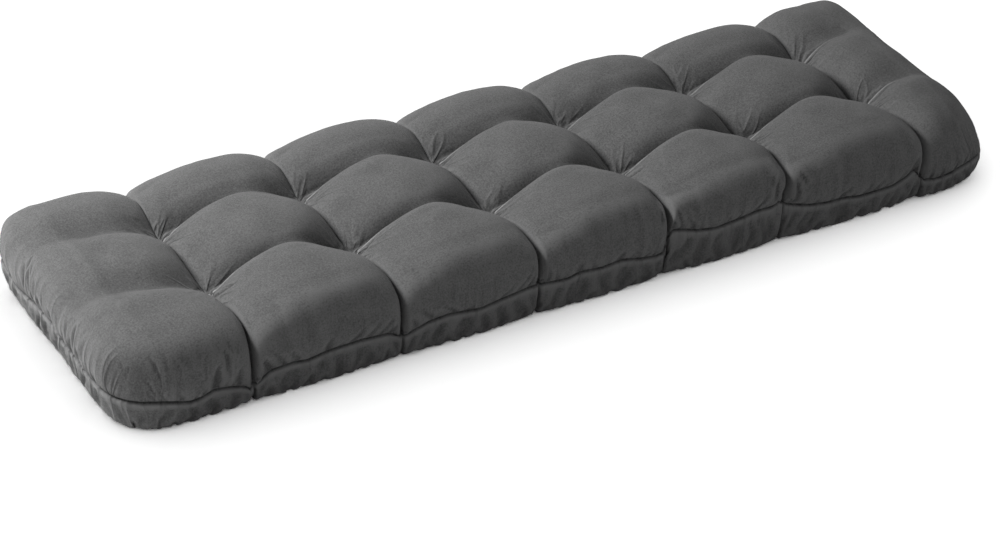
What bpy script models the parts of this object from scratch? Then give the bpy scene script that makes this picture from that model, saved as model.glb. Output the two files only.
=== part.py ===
"""Tufted bench cushion, at its real size in metres, lying on its back with +Z up.

The cushion is two cloth panels sewn together round one low seam and filled. The deep top panel wraps down
over the front, back and ends. The shallow under panel makes the narrow band below the seam and the flat
underside. Six lines of ties run across it, with two tufts on each line, and draw the cloth into seven
columns of three puffs. Each tuft is held by a short doubled thread, which is a piece of its own.

Both panels are grids of the same stations, so their edges are one line, the seam. The origin is on the floor,
under the middle of the cushion, and X runs along it.
"""

import math
from collections import namedtuple

import bmesh
import bpy
from mathutils import Vector

LENGTH = 1.422  # from end seam to end seam
WIDTH = 0.457  # from front seam to back seam, at the middle of a puff
SEAM_HEIGHT = 0.046  # of the seam above the floor
CROWN_HEIGHT = 0.1405  # of the highest puffs above the floor
COLUMN_LINES = 6  # lines of ties across the cushion
COLUMN_PITCH = 0.2155  # from one line to the next
TUFT_Y = 0.081  # of each row of tufts from the middle
TUFT_IN = WIDTH / 2 - TUFT_Y  # of each row of tufts from its seam
TUFT_HALF = 0.006  # half the length of the flat at the bottom of a tuft
CREASE_HALF = 0.003  # half the width of the flat at the bottom of a crease
CORNER_RADIUS = 0.056
NOTCH = 0.0145  # how far the ties draw the seam in at each line
FLAT_SWELL = 0.7  # the underside is flat where a puff has this share of its fullness, or more
PUFF_STEPS = 8  # grid steps across a puff
END_STEPS = 5  # grid steps from an end puff's crest to its crease

TIE_HALF = 0.005  # half the length of a tie's thread over the tuft
TIE_RADIUS = 0.0011
TIE_RISE = 0.0006  # of the thread's middle over its ends
TIE_GAP = 0.0003  # between the thread and the cloth under it
TIE_POINTS = 7

CLOTH_COLOUR = (0.072, 0.072, 0.074)
CLOTH_ROUGHNESS = 0.85
THREAD_COLOUR = (0.085, 0.085, 0.088)
THREAD_ROUGHNESS = 0.7

# Half of the cross-section, from the seam in to the middle. Each row names one lengthways line of the grids.
# crown_in, crease_in, under_in: metres in from the seam, at mid puff, at a crease and on the under panel.
# crown_rise, crease_rise, end_rise: height over the seam there and at the ends, as a share of the crown's.
# under_rise: height of the under panel, as a share of the seam's. under_crease: metres of its creases up.
Row = namedtuple(
    "Row", "name crown_in crown_rise crease_in crease_rise end_rise under_in under_rise under_crease"
)


def inner_row(name, inward, crown_rise, crease_rise, end_rise, under_crease):
    """A row past the crest, where all the cloth of a row lies the same distance in."""
    return Row(name, inward, crown_rise, inward, crease_rise, end_rise, inward, 0.0, under_crease)


SECTION = [
    Row("seam", 0.0000, 0.00, NOTCH, 0.00, 0.00, 0.0000, 1.00, SEAM_HEIGHT),
    Row("face low", -0.0060, 0.17, 0.0165, 0.14, 0.17, 0.0005, 0.68, 0.034),
    Row("face", -0.0065, 0.38, 0.0200, 0.29, 0.38, 0.0030, 0.34, 0.020),
    Row("shoulder", 0.0025, 0.64, 0.0275, 0.43, 0.64, 0.0090, 0.10, 0.009),
    Row("brow", 0.0225, 0.82, 0.0425, 0.55, 0.80, 0.0230, 0.00, 0.004),
    Row("crest", 0.0585, 0.94, 0.0685, 0.60, 0.90, 0.0585, 0.00, 0.003),
    inner_row("fall", 0.0985, 0.93, 0.58, 0.91, 0.003),
    inner_row("slope", 0.1245, 0.87, 0.52, 0.91, 0.006),
    inner_row("tuft outer", TUFT_IN - TUFT_HALF, 0.80, 0.42, 0.91, 0.012),
    inner_row("tuft inner", TUFT_IN + TUFT_HALF, 0.80, 0.42, 0.91, 0.012),
    inner_row("rise", 0.1735, 0.88, 0.51, 0.92, 0.006),
    inner_row("inner", 0.2005, 0.97, 0.59, 0.93, 0.003),
    inner_row("middle", WIDTH / 2, 1.00, 0.63, 0.93, 0.003),
]
EDGE_ROWS = 6  # the rows from the seam to the crest, which also shape the ends
CREST = SECTION[EDGE_ROWS - 1]

# Where a crosswise line of the grids lies: its x, the share of its puff's fullness there, how far the soft
# valleys between the rows have faded, and the row of the section that shapes it at an end, or None.
Station = namedtuple("Station", "x swell fade edge")


def mix(a, b, share):
    return a + (b - a) * share


def half_stations():
    """The stations from the left end seam to the middle of the cushion."""
    lines = [COLUMN_PITCH * (k - (COLUMN_LINES - 1) / 2) for k in range(COLUMN_LINES // 2)]
    found = [Station(row.crown_in - LENGTH / 2, 1.0, 1.0, row) for row in SECTION[:EDGE_ROWS]]
    crest = found[-1].x
    crease = lines[0] - CREASE_HALF
    for k in range(1, END_STEPS + 1):
        turn = math.pi / 2 * k / END_STEPS
        swell = math.cos(turn) if k < END_STEPS else 0.0
        found.append(Station(mix(crest, crease, math.sin(turn)), swell, 1 - k / END_STEPS, None))
    for line in lines:
        middle = line + COLUMN_PITCH / 2
        half = COLUMN_PITCH / 2 - CREASE_HALF
        last = PUFF_STEPS if line != lines[-1] else PUFF_STEPS // 2
        for k in range(last + 1):
            turn = math.pi * k / PUFF_STEPS
            swell = math.sin(turn) if 0 < k < PUFF_STEPS else 0.0
            found.append(Station(middle - half * math.cos(turn), swell, 0.0, None))
    return found


def stations():
    """All the crosswise lines, from end seam to end seam."""
    left = half_stations()
    return left + [station._replace(x=-station.x) for station in reversed(left[:-1])]


def rows():
    """All the lengthways lines, as (side, row), from front seam to back seam."""
    return [(-1, row) for row in SECTION] + [(1, row) for row in reversed(SECTION[:-1])]


def climb(row):
    """How far a row is up the side of the cushion: 0 at the seam, 1 from the crest on."""
    return min(1.0, SECTION.index(row) / (EDGE_ROWS - 1)) if row else 1.0


def inset(row, own, other):
    """Metres in from the seam: a row's own distance, evened out where the other row nears the seam."""
    even = climb(row) * CREST.crown_in if climb(row) < 1 else own
    return mix(even, own, climb(other))


def lesser(a, b):
    """The lesser of two shares, rounded over where they are alike, and the other's own where one is 1."""
    return (a**-4 + b**-4 - 1) ** -0.25 if a and b else 0.0


def rounded(x, y):
    """The place in the round-cornered plan of a point of the square-cornered one."""
    straight_x = LENGTH / 2 - CORNER_RADIUS
    straight_y = WIDTH / 2 - CORNER_RADIUS
    p = (abs(x) - straight_x) / CORNER_RADIUS
    q = (abs(y) - straight_y) / CORNER_RADIUS
    if p <= 0 or q <= 0:
        return x, y
    round_x = straight_x + CORNER_RADIUS * p * math.sqrt(1 - q * q / 2)
    round_y = straight_y + CORNER_RADIUS * q * math.sqrt(1 - p * p / 2)
    return math.copysign(round_x, x), math.copysign(round_y, y)


def top_point(station, side, row):
    """A point of the top panel: between its crease and its crown, and lowered at the ends."""
    height = CROWN_HEIGHT - SEAM_HEIGHT
    crown = mix(row.crown_rise, row.end_rise, station.fade)
    if station.edge:
        crown = CREST.end_rise * lesser(crown / CREST.end_rise, station.edge.end_rise / CREST.end_rise)
    inward = mix(row.crease_in, inset(row, row.crown_in, station.edge), station.swell)
    rise = mix(row.crease_rise, crown, station.swell)
    along = station.x
    if station.edge:
        along = math.copysign(LENGTH / 2 - inset(station.edge, station.edge.crown_in, row), station.x)
    x, y = rounded(along, side * (WIDTH / 2 - inward))
    return Vector((x, y, SEAM_HEIGHT + rise * height))


def under_point(station, side, row):
    """A point of the under panel: the band below the seam, then the flat with its creases and tufts."""
    edge = station.edge.under_rise if station.edge else 0.0
    flat = SEAM_HEIGHT * (row.under_rise + edge - row.under_rise * edge)
    full = min(1.0, station.swell / FLAT_SWELL) if row.under_rise == 0 else station.swell
    drawn = NOTCH * (1 - station.swell) * (1 - row.under_in / (WIDTH / 2))
    inward = inset(row, row.under_in, station.edge) + drawn
    along = station.x
    if station.edge:
        along = math.copysign(LENGTH / 2 - inset(station.edge, station.edge.under_in, row), station.x)
    x, y = rounded(along, side * (WIDTH / 2 - inward))
    return Vector((x, y, mix(row.under_crease, flat, full)))


def add_panel(shell, place, flip):
    """Adds one panel to the shell: a grid whose every point goes to its place on the cushion."""
    across = stations()
    along = rows()
    steps_x = len(across) - 1
    steps_y = len(along) - 1
    made = bmesh.ops.create_grid(shell, x_segments=steps_x, y_segments=steps_y, size=1.0)
    for vert in made["verts"]:
        i = round((vert.co.x + 1) / 2 * steps_x)
        j = round((vert.co.y + 1) / 2 * steps_y)
        vert.co = place(across[i], *along[j])
    if flip:
        faces = list({face for vert in made["verts"] for face in vert.link_faces})
        bmesh.ops.reverse_faces(shell, faces=faces)


def fabric_material(name, colour, roughness):
    material = bpy.data.materials.new(name)
    material.use_nodes = True
    shader = material.node_tree.nodes["Principled BSDF"]
    shader.inputs["Base Color"].default_value = (*colour, 1.0)
    shader.inputs["Roughness"].default_value = roughness
    shader.inputs["Metallic"].default_value = 0.0
    return material


def make_cushion(collection):
    """The filled cushion: both panels, welded along the seam."""
    shell = bmesh.new()
    add_panel(shell, top_point, flip=False)
    add_panel(shell, under_point, flip=True)
    bmesh.ops.remove_doubles(shell, verts=shell.verts, dist=0.0001)
    mesh = bpy.data.meshes.new("cushion")
    shell.to_mesh(mesh)
    shell.free()
    mesh.shade_smooth()
    mesh.materials.append(fabric_material("charcoal cloth", CLOTH_COLOUR, CLOTH_ROUGHNESS))
    collection.objects.link(bpy.data.objects.new("cushion", mesh))


def tie_curve(material):
    """The short doubled thread over a tuft: a low arch along Y, with its ends lowest."""
    curve = bpy.data.curves.new("tuft tie", "CURVE")
    curve.dimensions = "3D"
    curve.bevel_depth = TIE_RADIUS
    curve.bevel_resolution = 2
    curve.use_fill_caps = True
    spline = curve.splines.new("POLY")
    spline.points.add(TIE_POINTS - 1)
    for k, point in enumerate(spline.points):
        share = 2 * k / (TIE_POINTS - 1) - 1
        point.co = (0, TIE_HALF * share, TIE_RISE * (1 - share * share), 1)
    curve.materials.append(material)
    return curve


def make_ties(collection):
    """One tie at each tuft, lying along the crease on the flat at the tuft's bottom."""
    curve = tie_curve(fabric_material("charcoal thread", THREAD_COLOUR, THREAD_ROUGHNESS))
    tuft = next(row for row in SECTION if row.name == "tuft outer")
    floor = SEAM_HEIGHT + tuft.crease_rise * (CROWN_HEIGHT - SEAM_HEIGHT)
    for side_name, side in (("front", -1), ("back", 1)):
        for k in range(COLUMN_LINES):
            tie = bpy.data.objects.new(f"tie_{side_name}_{k + 1}", curve)
            tie.location.x = COLUMN_PITCH * (k - (COLUMN_LINES - 1) / 2)
            tie.location.y = side * TUFT_Y
            tie.location.z = floor + TIE_GAP + TIE_RADIUS
            collection.objects.link(tie)


def main():
    for obj in list(bpy.data.objects):
        bpy.data.objects.remove(obj)
    collection = bpy.data.collections.new("bench_cushion")
    bpy.context.scene.collection.children.link(collection)
    make_cushion(collection)
    make_ties(collection)


main()
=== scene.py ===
"""Looks of the tufted bench cushion: sewn cloth over soft filling, drawn in by twelve thread ties.

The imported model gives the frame. Metres, +Z up, X along the cushion, its front long side towards -Y.

The cushion's cloth is relaxed with numpy. Each column of the top cloth is a grid of points joined by bonds
that keep their length, held along its creases, tufts and seam, and blown up by the filling. The band below
the seam is a second such grid, gathered along its length and resting on the floor.
"""

import math

import bpy
import numpy as np
from bpy.props import FloatProperty, FloatVectorProperty, IntProperty, PointerProperty
from mathutils import Matrix, Vector, geometry


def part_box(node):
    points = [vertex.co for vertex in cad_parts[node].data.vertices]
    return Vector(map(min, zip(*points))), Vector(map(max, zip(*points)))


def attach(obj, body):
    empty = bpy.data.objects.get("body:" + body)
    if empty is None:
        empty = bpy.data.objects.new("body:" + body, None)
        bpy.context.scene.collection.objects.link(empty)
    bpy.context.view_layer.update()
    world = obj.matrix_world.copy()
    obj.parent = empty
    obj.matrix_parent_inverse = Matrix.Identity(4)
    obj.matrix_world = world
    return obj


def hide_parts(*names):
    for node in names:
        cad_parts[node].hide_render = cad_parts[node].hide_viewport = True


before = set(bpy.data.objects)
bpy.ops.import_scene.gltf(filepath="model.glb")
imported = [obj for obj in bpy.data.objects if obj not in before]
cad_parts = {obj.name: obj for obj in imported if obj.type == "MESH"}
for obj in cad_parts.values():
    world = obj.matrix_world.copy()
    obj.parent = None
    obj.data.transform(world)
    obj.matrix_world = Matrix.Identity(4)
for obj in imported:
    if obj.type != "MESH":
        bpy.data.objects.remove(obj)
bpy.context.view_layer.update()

bl_info = {
    "name": "Tufted bench cushion",
    "version": (1, 0, 0),
    "blender": (4, 5, 0),
    "location": "3D View > Sidebar > Cushion",
    "description": "Makes a tufted bench cushion, its thread ties and a plain studio round it",
    "category": "Object",
}

# ------------------------------------------------------------------ sizes of the cushion, in metres

LENGTH = 1.411  # from end seam to end seam
WIDTH = 0.457  # from front seam to back seam, at the middle of a puff
END_SHIFT = -0.0235  # how far both ends lie off the middle of the tufts
SEAM_HEIGHT = 0.046  # in the cross-sections
COLUMN_LINES = 6  # lines of ties
COLUMN_PITCH = 0.2155  # from one line to the next
LINE_X = COLUMN_PITCH * (np.arange(COLUMN_LINES) - (COLUMN_LINES - 1) / 2)
# The corners, front and back, at the left and then at the right: the seam's radius, and how much wider it
# is at the crown.
CORNER_RADII = np.array([[0.074, 0.030], [0.070, 0.022]])
CORNER_LEANS = np.array([[0.024, -0.004], [0.075, 0.000]])
FRONT_NOTCH, BACK_NOTCH = 0.0025, 0.012  # how far the ties draw the seam in at each line
NOTCH_REACH = 0.014  # how far along the seam

# The cross-section from each long seam in to the middle, front and back. Each row gives metres in from the
# seam and metres up at mid puff, and the same two at a crease.
FRONT_SECTION = np.array([
    (0.0000, 0.0460, 0.0050, 0.0460),
    (-0.0050, 0.0610, 0.0035, 0.0600),
    (-0.0063, 0.0810, 0.0062, 0.0780),
    (-0.0016, 0.1060, 0.0140, 0.0950),
    (0.0140, 0.1265, 0.0295, 0.1065),
    (0.0490, 0.1370, 0.0600, 0.1090),
    (0.0910, 0.1400, 0.0935, 0.1025),
    (0.1230, 0.1395, 0.1240, 0.0930),
    (0.1475, 0.1350, 0.1475, 0.0857),
    (0.1640, 0.1200, 0.1640, 0.0835),
    (0.1880, 0.1305, 0.1880, 0.0850),
    (0.2285, 0.1390, 0.2285, 0.0915),
])
BACK_SECTION = np.array([
    (0.0000, 0.0460, 0.0120, 0.0460),
    (-0.0050, 0.0610, 0.0150, 0.0590),
    (-0.0060, 0.0800, 0.0190, 0.0740),
    (0.0005, 0.1020, 0.0275, 0.0900),
    (0.0170, 0.1200, 0.0430, 0.1030),
    (0.0510, 0.1315, 0.0700, 0.1100),
    (0.0920, 0.1285, 0.0990, 0.1020),
    (0.1280, 0.1175, 0.1260, 0.0880),
    (0.1475, 0.1320, 0.1475, 0.0857),
    (0.1640, 0.1370, 0.1640, 0.0890),
    (0.1880, 0.1390, 0.1880, 0.0965),
    (0.2285, 0.1390, 0.2285, 0.0915),
])
# The folds that leave each tuft, to its right (1) and to its left (-1): degrees to the row of tufts, towards
# the back, then length and height in metres.
TUFT_FOLDS = {
    1: ((0, 0.095, 0.0036), (44, 0.034, 0.0018), (-38, 0.030, 0.0020), (-78, 0.028, 0.0024)),
    -1: ((-6, 0.030, 0.0026), (34, 0.032, 0.0015), (-48, 0.026, 0.0022)),
}
FOLD_WIDTH = 0.0018  # of each fold at its tuft
MAIN_WIDENS, OTHERS_WIDEN = 0.004, 0.03  # what a metre adds to it, for the first fold and the others
FOLD_CURVE = 0.002  # how far a fold has bent aside at its end
END_TOP = 0.1270  # height of the crown by an end
END_CROWN = 0.0040  # how much higher an end column is towards its crease
# The rise over an end, at the rows of the cross-sections: metres in from the end seam and metres over it.
END_SECTION = np.array([
    (0.0000, 0.0000), (-0.0035, 0.0150), (-0.0035, 0.0330), (0.0040, 0.0540),
    (0.0220, 0.0700), (0.0520, 0.0810), (0.0930, 0.0835), (0.1230, 0.0835),
    (0.1475, 0.0835), (0.1700, 0.0845), (0.2000, 0.0855), (0.2285, 0.0860),
])
# The two valleys of each end column: the tuft's side, the y that the valley nears at the end, and its depth.
VALLEYS = {
    -1: ((-1, -0.045, 0.024), (1, 0.120, 0.022)),
    1: ((-1, -0.060, 0.020), (1, 0.110, 0.020)),
}
VALLEY_FADES = {-1: 0.09, 1: 0.16}  # metres from the end seam over which they reach their depth
VALLEY_START = 0.012  # how far behind its tuft a valley starts
VALLEY_FRONT, VALLEY_BACK, VALLEY_WIDENS = 0.020, 0.034, 0.008  # width of its flanks, wider by the end
# How much higher each end's shoulder is than the crown, by y.
END_TILT = {
    -1: np.array([(-0.20, 0.0), (0.10, 0.0), (0.20, 0.006)]),
    1: np.array([
        (-0.20, -0.024), (-0.15, -0.020), (-0.08, -0.006), (0.0, 0.006), (0.10, 0.012), (0.20, 0.016),
    ]),
}
END_SQUARE = {-1: 0.15, 1: 0.55}  # how much more upright each end is at its back corner

# Metres along the cloth from the seam to each row of the cross-sections, and to three of them by name.
CREST_ROW, TUFT_ROW = 5, 8
KNOT_STEPS = np.hypot(*np.diff((FRONT_SECTION + BACK_SECTION)[:, :2] / 2, axis=0).T)
KNOTS = np.concatenate([[0], np.cumsum(KNOT_STEPS)])
CREST_AT, TUFT_AT, MIDDLE_AT = KNOTS[CREST_ROW], KNOTS[TUFT_ROW], KNOTS[-1]
TUFT_Y = WIDTH / 2 - FRONT_SECTION[TUFT_ROW, 2]

# Height of the seam over the floor: along the front and the back by x, and along the ends by y.
FRONT_SEAM = np.array([
    (-0.734, 0.050), (-0.686, 0.052), (-0.654, 0.043), (-0.631, 0.038), (-0.614, 0.040), (-0.597, 0.046),
    (-0.569, 0.041), (-0.551, 0.036), (-0.541, 0.032), (-0.518, 0.049), (-0.484, 0.051), (-0.464, 0.048),
    (-0.434, 0.053), (-0.384, 0.054), (-0.344, 0.051), (-0.323, 0.038), (-0.304, 0.045), (-0.284, 0.051),
    (-0.254, 0.053), (-0.204, 0.047), (-0.174, 0.052), (-0.128, 0.057), (-0.113, 0.056), (-0.068, 0.053),
    (-0.049, 0.0575), (-0.014, 0.054), (0.019, 0.057), (0.049, 0.050), (0.074, 0.046), (0.090, 0.047),
    (0.100, 0.080), (0.114, 0.078), (0.146, 0.068), (0.176, 0.063), (0.226, 0.068), (0.246, 0.071),
    (0.271, 0.070), (0.284, 0.075), (0.292, 0.069), (0.306, 0.064), (0.336, 0.055), (0.366, 0.050),
    (0.401, 0.049), (0.426, 0.044), (0.486, 0.044), (0.513, 0.053), (0.526, 0.062), (0.542, 0.040),
    (0.566, 0.034), (0.596, 0.036), (0.631, 0.045), (0.686, 0.050),
])
BACK_SEAM = np.array([
    (-0.72, 0.050), (-0.60, 0.046), (-0.55, 0.041), (-0.539, 0.036), (-0.50, 0.050), (-0.42, 0.053),
    (-0.35, 0.049), (-0.323, 0.038), (-0.28, 0.048), (-0.20, 0.054), (-0.13, 0.047), (-0.108, 0.038),
    (-0.06, 0.050), (0.00, 0.055), (0.07, 0.049), (0.108, 0.038), (0.15, 0.050), (0.22, 0.055),
    (0.29, 0.048), (0.323, 0.037), (0.37, 0.050), (0.44, 0.054), (0.51, 0.047), (0.539, 0.037),
    (0.58, 0.047), (0.65, 0.052), (0.72, 0.050),
])
LEFT_SEAM = np.array([
    (-0.2285, 0.050), (-0.163, 0.050), (-0.1135, 0.0456), (-0.07, 0.049), (-0.025, 0.048), (0.004, 0.0565),
    (0.065, 0.053), (0.143, 0.040), (0.19, 0.054), (0.2285, 0.050),
])
RIGHT_SEAM = np.array([
    (-0.2285, 0.046), (-0.17, 0.046), (-0.12, 0.052), (-0.06, 0.047), (-0.02, 0.044), (0.03, 0.050),
    (0.09, 0.052), (0.14, 0.044), (0.19, 0.050), (0.2285, 0.052),
])
FRONT_SEAM_SHIFT = 0.004  # how far the front seam's table lies to the right of where it holds
# How far each crease leans along X on its way from its tuft to the front seam.
FRONT_LEAN = np.array([-0.006, -0.004, -0.009, -0.017, -0.035, -0.001])

SLOT_HALF = 0.0004  # half the gap between two puffs at their crease
FRONT_SLOT, BACK_SLOT, TIE_SLOT = 0.0023, 0.0008, 0.0018  # what widens it, low on each face and at a tuft
SLOT_DEPTH = 0.018  # how much deeper it is over a face than by a tuft
FACE_TOP, FACE_FADE = 0.095, 0.055  # metres from the seam at which a face's box shape ends, and its fade
PUFF_POWER, PUFF_SKEW = 2.8, 0.20  # roundness of the inner puffs, and how far right of the middle they crest
END_POWER = 5  # roundness of the end columns
# How far behind each row of tufts a puff is most pointed, and its gully lies, and how both fade to the front
# and to the back.
POINTED, GULLY = (0.0, 0.045, 0.02), (0.019, 0.013, 0.026)
PUFF_LIFT, CREASE_LIFT = 0.11, 0.09  # metres over which the seam's height fades up a puff and up a crease
FULL_BY_SEAM, FULL_BY_TUFT = 0.05, 0.04  # how far from the seam and from a tuft the cloth is cut fuller

# ------------------------------------------------------------------ grids and the relaxing of the cloth

PUFF_STEPS = 52  # grid steps across a column
END_STEPS = 60  # grid steps from an end seam to its first crease
FACE_STEPS = 50  # grid steps from a long seam to its row of tufts
MIDDLE_STEPS = 20  # grid steps from a row of tufts to the middle
CLOSER_ROWS = 0.45  # how much closer the rows lie by the seams and the tufts, as a share of an even step
SHEAR, DAMP = 0.3, 0.92  # stiffness of the diagonal bonds, and the share of its last move that a point keeps


def ease(t):
    """Smooth step: 3t^2 - 2t^3 between 0 and 1."""
    t = np.clip(t, 0, 1)
    return t * t * (3 - 2 * t)


def bell(t, reach=1.0):
    """exp(-(t / reach)^2)."""
    return np.exp(-((t / reach) ** 2))


def hermite(knots, values, at):
    """Cubic through the rows of a table, each row's slope being the one between its neighbours."""
    slope = np.gradient(values, knots, axis=0)
    k = np.clip(np.searchsorted(knots, at, side="right") - 1, 0, len(knots) - 2)
    step = (knots[k + 1] - knots[k])[..., None]
    t = (at - knots[k])[..., None] / step
    a, b, from_a, to_b = values[k], values[k + 1], slope[k] * step, slope[k + 1] * step
    rise = t * t * (3 - 2 * t)
    return a + (b - a) * rise + (t**3 - 2 * t**2 + t) * from_a + (t**3 - t**2) * to_b


def table_curve(table, at):
    """Straight lines through a table, evened out by a bell of 4 mm."""
    fine = np.linspace(-0.8, 0.8, 1601)  # 1 mm apart
    weight = bell(np.arange(-12, 13), 4)
    values = np.pad(np.interp(fine, table[:, 0], table[:, 1]), 12, mode="edge")
    return np.interp(at, fine, np.convolve(values, weight / weight.sum(), "valid"))


def patchy(shape, cells, rng):
    """Random values from -1 to 1 at the corners of cells that fill a grid, eased between them."""
    coarse = rng.uniform(-1, 1, (cells[0] + 1, cells[1] + 1))
    a, b = (np.linspace(0, c, n) for c, n in zip(cells, shape))
    i, j = (np.floor(v).astype(int).clip(0, c - 1) for v, c in zip((a, b), cells))
    ta, tb = ease(a - i)[:, None], ease(b - j)
    near = coarse[i][:, j] * (1 - ta) + coarse[i + 1][:, j] * ta
    far = coarse[i][:, j + 1] * (1 - ta) + coarse[i + 1][:, j + 1] * ta
    return near * (1 - tb) + far * tb


def cloth_rows(level):
    """Each row's distance along the cloth from the nearer long seam, and its side, -1 front and 1 back.

    The rows lie closest by the seams and the tufts, where the folds are.
    """
    s, m = np.linspace(0, 1, FACE_STEPS // level + 1), np.linspace(0, 1, MIDDLE_STEPS // level + 1)[1:]
    half = np.concatenate([
        TUFT_AT * (s - CLOSER_ROWS * np.sin(2 * math.pi * s) / (2 * math.pi)),
        TUFT_AT + (MIDDLE_AT - TUFT_AT) * (m - CLOSER_ROWS * np.sin(math.pi * m) / math.pi),
    ])
    return np.concatenate([half, half[-2::-1]]), np.repeat([-1.0, 1.0], [len(half), len(half) - 1])


def seam_height(x, side):
    """Height of the long seams at x."""
    return np.where(side < 0, table_curve(FRONT_SEAM, x + FRONT_SEAM_SHIFT), table_curve(BACK_SEAM, x))


def seam_in(x, side):
    """How far the seam is drawn in at x: notch exp(-(d / NOTCH_REACH)^1.3), d to the nearest crease."""
    lines = LINE_X + (side < 0) * FRONT_LEAN
    away = np.abs(x[..., None] - lines).min(axis=-1)
    return np.where(side < 0, FRONT_NOTCH, BACK_NOTCH) * np.exp(-((away / NOTCH_REACH) ** 1.3))


def section_at(reach, side):
    """The cross-section's four measures at each row, smooth over the middle."""
    knots = np.concatenate([KNOTS, 2 * MIDDLE_AT - KNOTS[-2::-1]])
    both = np.concatenate([FRONT_SECTION, BACK_SECTION[-2::-1]])
    both[len(KNOTS):, (0, 2)] = WIDTH - both[len(KNOTS):, (0, 2)]
    found = hermite(knots, both, np.where(side < 0, reach, 2 * MIDDLE_AT - reach))
    found[side > 0, 0] = WIDTH - found[side > 0, 0]
    found[side > 0, 2] = WIDTH - found[side > 0, 2]
    return found


def creases(reach, side):
    """The middle of each crease, (line, row, xyz): the section's crease, leaning towards the front seam."""
    section = section_at(reach, side)
    lean = FRONT_LEAN[:, None] * np.where(side < 0, ease(1 - reach / (TUFT_AT * 0.95)), 0)
    x = LINE_X[:, None] + lean
    lift = (seam_height(x, side) - SEAM_HEIGHT) * np.clip(1 - reach / CREASE_LIFT, 0, 1) ** 1.5
    y = np.broadcast_to(side * (WIDTH / 2 - section[:, 2]), x.shape)
    return np.stack([x, y, section[:, 3] + lift], axis=-1)


def slot_half(reach, side):
    """Half the gap at a crease: widest low on the front face, and wider at a tuft for its tie."""
    down = ease(1 - reach / (TUFT_AT * 0.97))
    face = np.where(side < 0, FRONT_SLOT * down**0.4, BACK_SLOT * down**1.2)
    return SLOT_HALF + face + TIE_SLOT * bell(reach - TUFT_AT, 0.009)


def rounded(x, y, rise):
    """The place in the round-cornered outline of a point of the square-cornered one, at a share of the rise.

    Within a corner's square, p and q are the shares of its radius past its centre, and the point goes to
    p (1 - q^2 / 2)^0.5 and q (1 - p^2 / 2)^0.5, which turns the square's edges into a quarter circle.
    """
    i, j = (x > 0).astype(int), (y > 0).astype(int)
    radius = CORNER_RADII[i, j] + CORNER_LEANS[i, j] * rise
    straight_x, straight_y = LENGTH / 2 - radius, WIDTH / 2 - radius
    p = (np.abs(x) - straight_x) / radius
    q = (np.abs(y) - straight_y) / radius
    both = (p > 0) & (q > 0)
    round_x = straight_x + radius * p * np.sqrt(np.clip(1 - q * q / 2, 0, 1))
    round_y = straight_y + radius * q * np.sqrt(np.clip(1 - p * p / 2, 0, 1))
    return (
        np.where(both, np.copysign(round_x, x), x),
        np.where(both, np.copysign(round_y, y), y),
    )


def lesser(a, b):
    """The lesser of two shares, rounded over where they are alike: (a^-8 + b^-8 - 1)^(-1/8)."""
    a, b = np.maximum(a, 1e-3), np.maximum(b, 1e-3)
    return np.maximum(a**-8 + b**-8 - 1, 1e-3) ** (-1 / 8)


def by_tufts(reach, side, behind, front, back):
    """1 in the rows that lie behind metres past each row of tufts, fading over front and back metres."""
    from_front = MIDDLE_AT + side * (MIDDLE_AT - reach)
    share = 0 * from_front
    for row in (TUFT_AT, 2 * MIDDLE_AT - TUFT_AT):
        past = from_front - row - behind
        share = np.maximum(share, np.exp(-((np.abs(past) / np.where(past < 0, front, back)) ** 1.6)))
    return share


def swelling(t, reach, side, inner):
    """How full a puff is at t: -1 to 1 across an inner one, or 0 to 1 from an end one's crown to its crease.

    On the faces it is boxy, (1 - t^16)^0.5, and over the middle rounder, 1 - |t|^PUFF_POWER, with its crest
    PUFF_SKEW to the right, at t - PUFF_SKEW (1 - t^2). By the tufts it is more pointed, (1 - t^2)^1.1 on its
    left and ^1.5 on its right. Just behind each row of tufts lies a gully that is pointed like a tent,
    (1 - ((t^2 + 0.1)^0.5 - 0.316) / 0.733)^1.7. An end column is fuller and has no skew: 1 - t^END_POWER
    over the middle, 1 - t^3.5 by the tufts and (1 - t^4)^1.3 in the gullies.
    """
    power, skew = (PUFF_POWER, PUFF_SKEW) if inner else (END_POWER, 0.0)
    on_face = ease((FACE_TOP - reach) / FACE_FADE)
    row, gully = by_tufts(reach, side, *POINTED), by_tufts(reach, side, *GULLY)
    box = (1 - np.abs(t) ** 16) ** 0.5
    t = t - skew * (1 - row * (1 - gully)) * (1 - on_face) * (1 - t * t)
    away = np.abs(t)
    plain = (1 - away**power) * (1 - on_face) + box * on_face
    if inner:
        tent = np.clip(1 - (np.sqrt(t * t + 0.1) - 0.316) / 0.733, 0, 1) ** 1.7
        crest = (1 - away**2) ** (1.1 + 0.4 * ease(t + 0.5))
    else:
        tent, crest = (1 - away**4) ** 1.3, 1 - away**3.5
    share = np.maximum(row, gully)
    return plain * (1 - share) + (crest * (1 - gully) + tent * gully) * share


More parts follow.
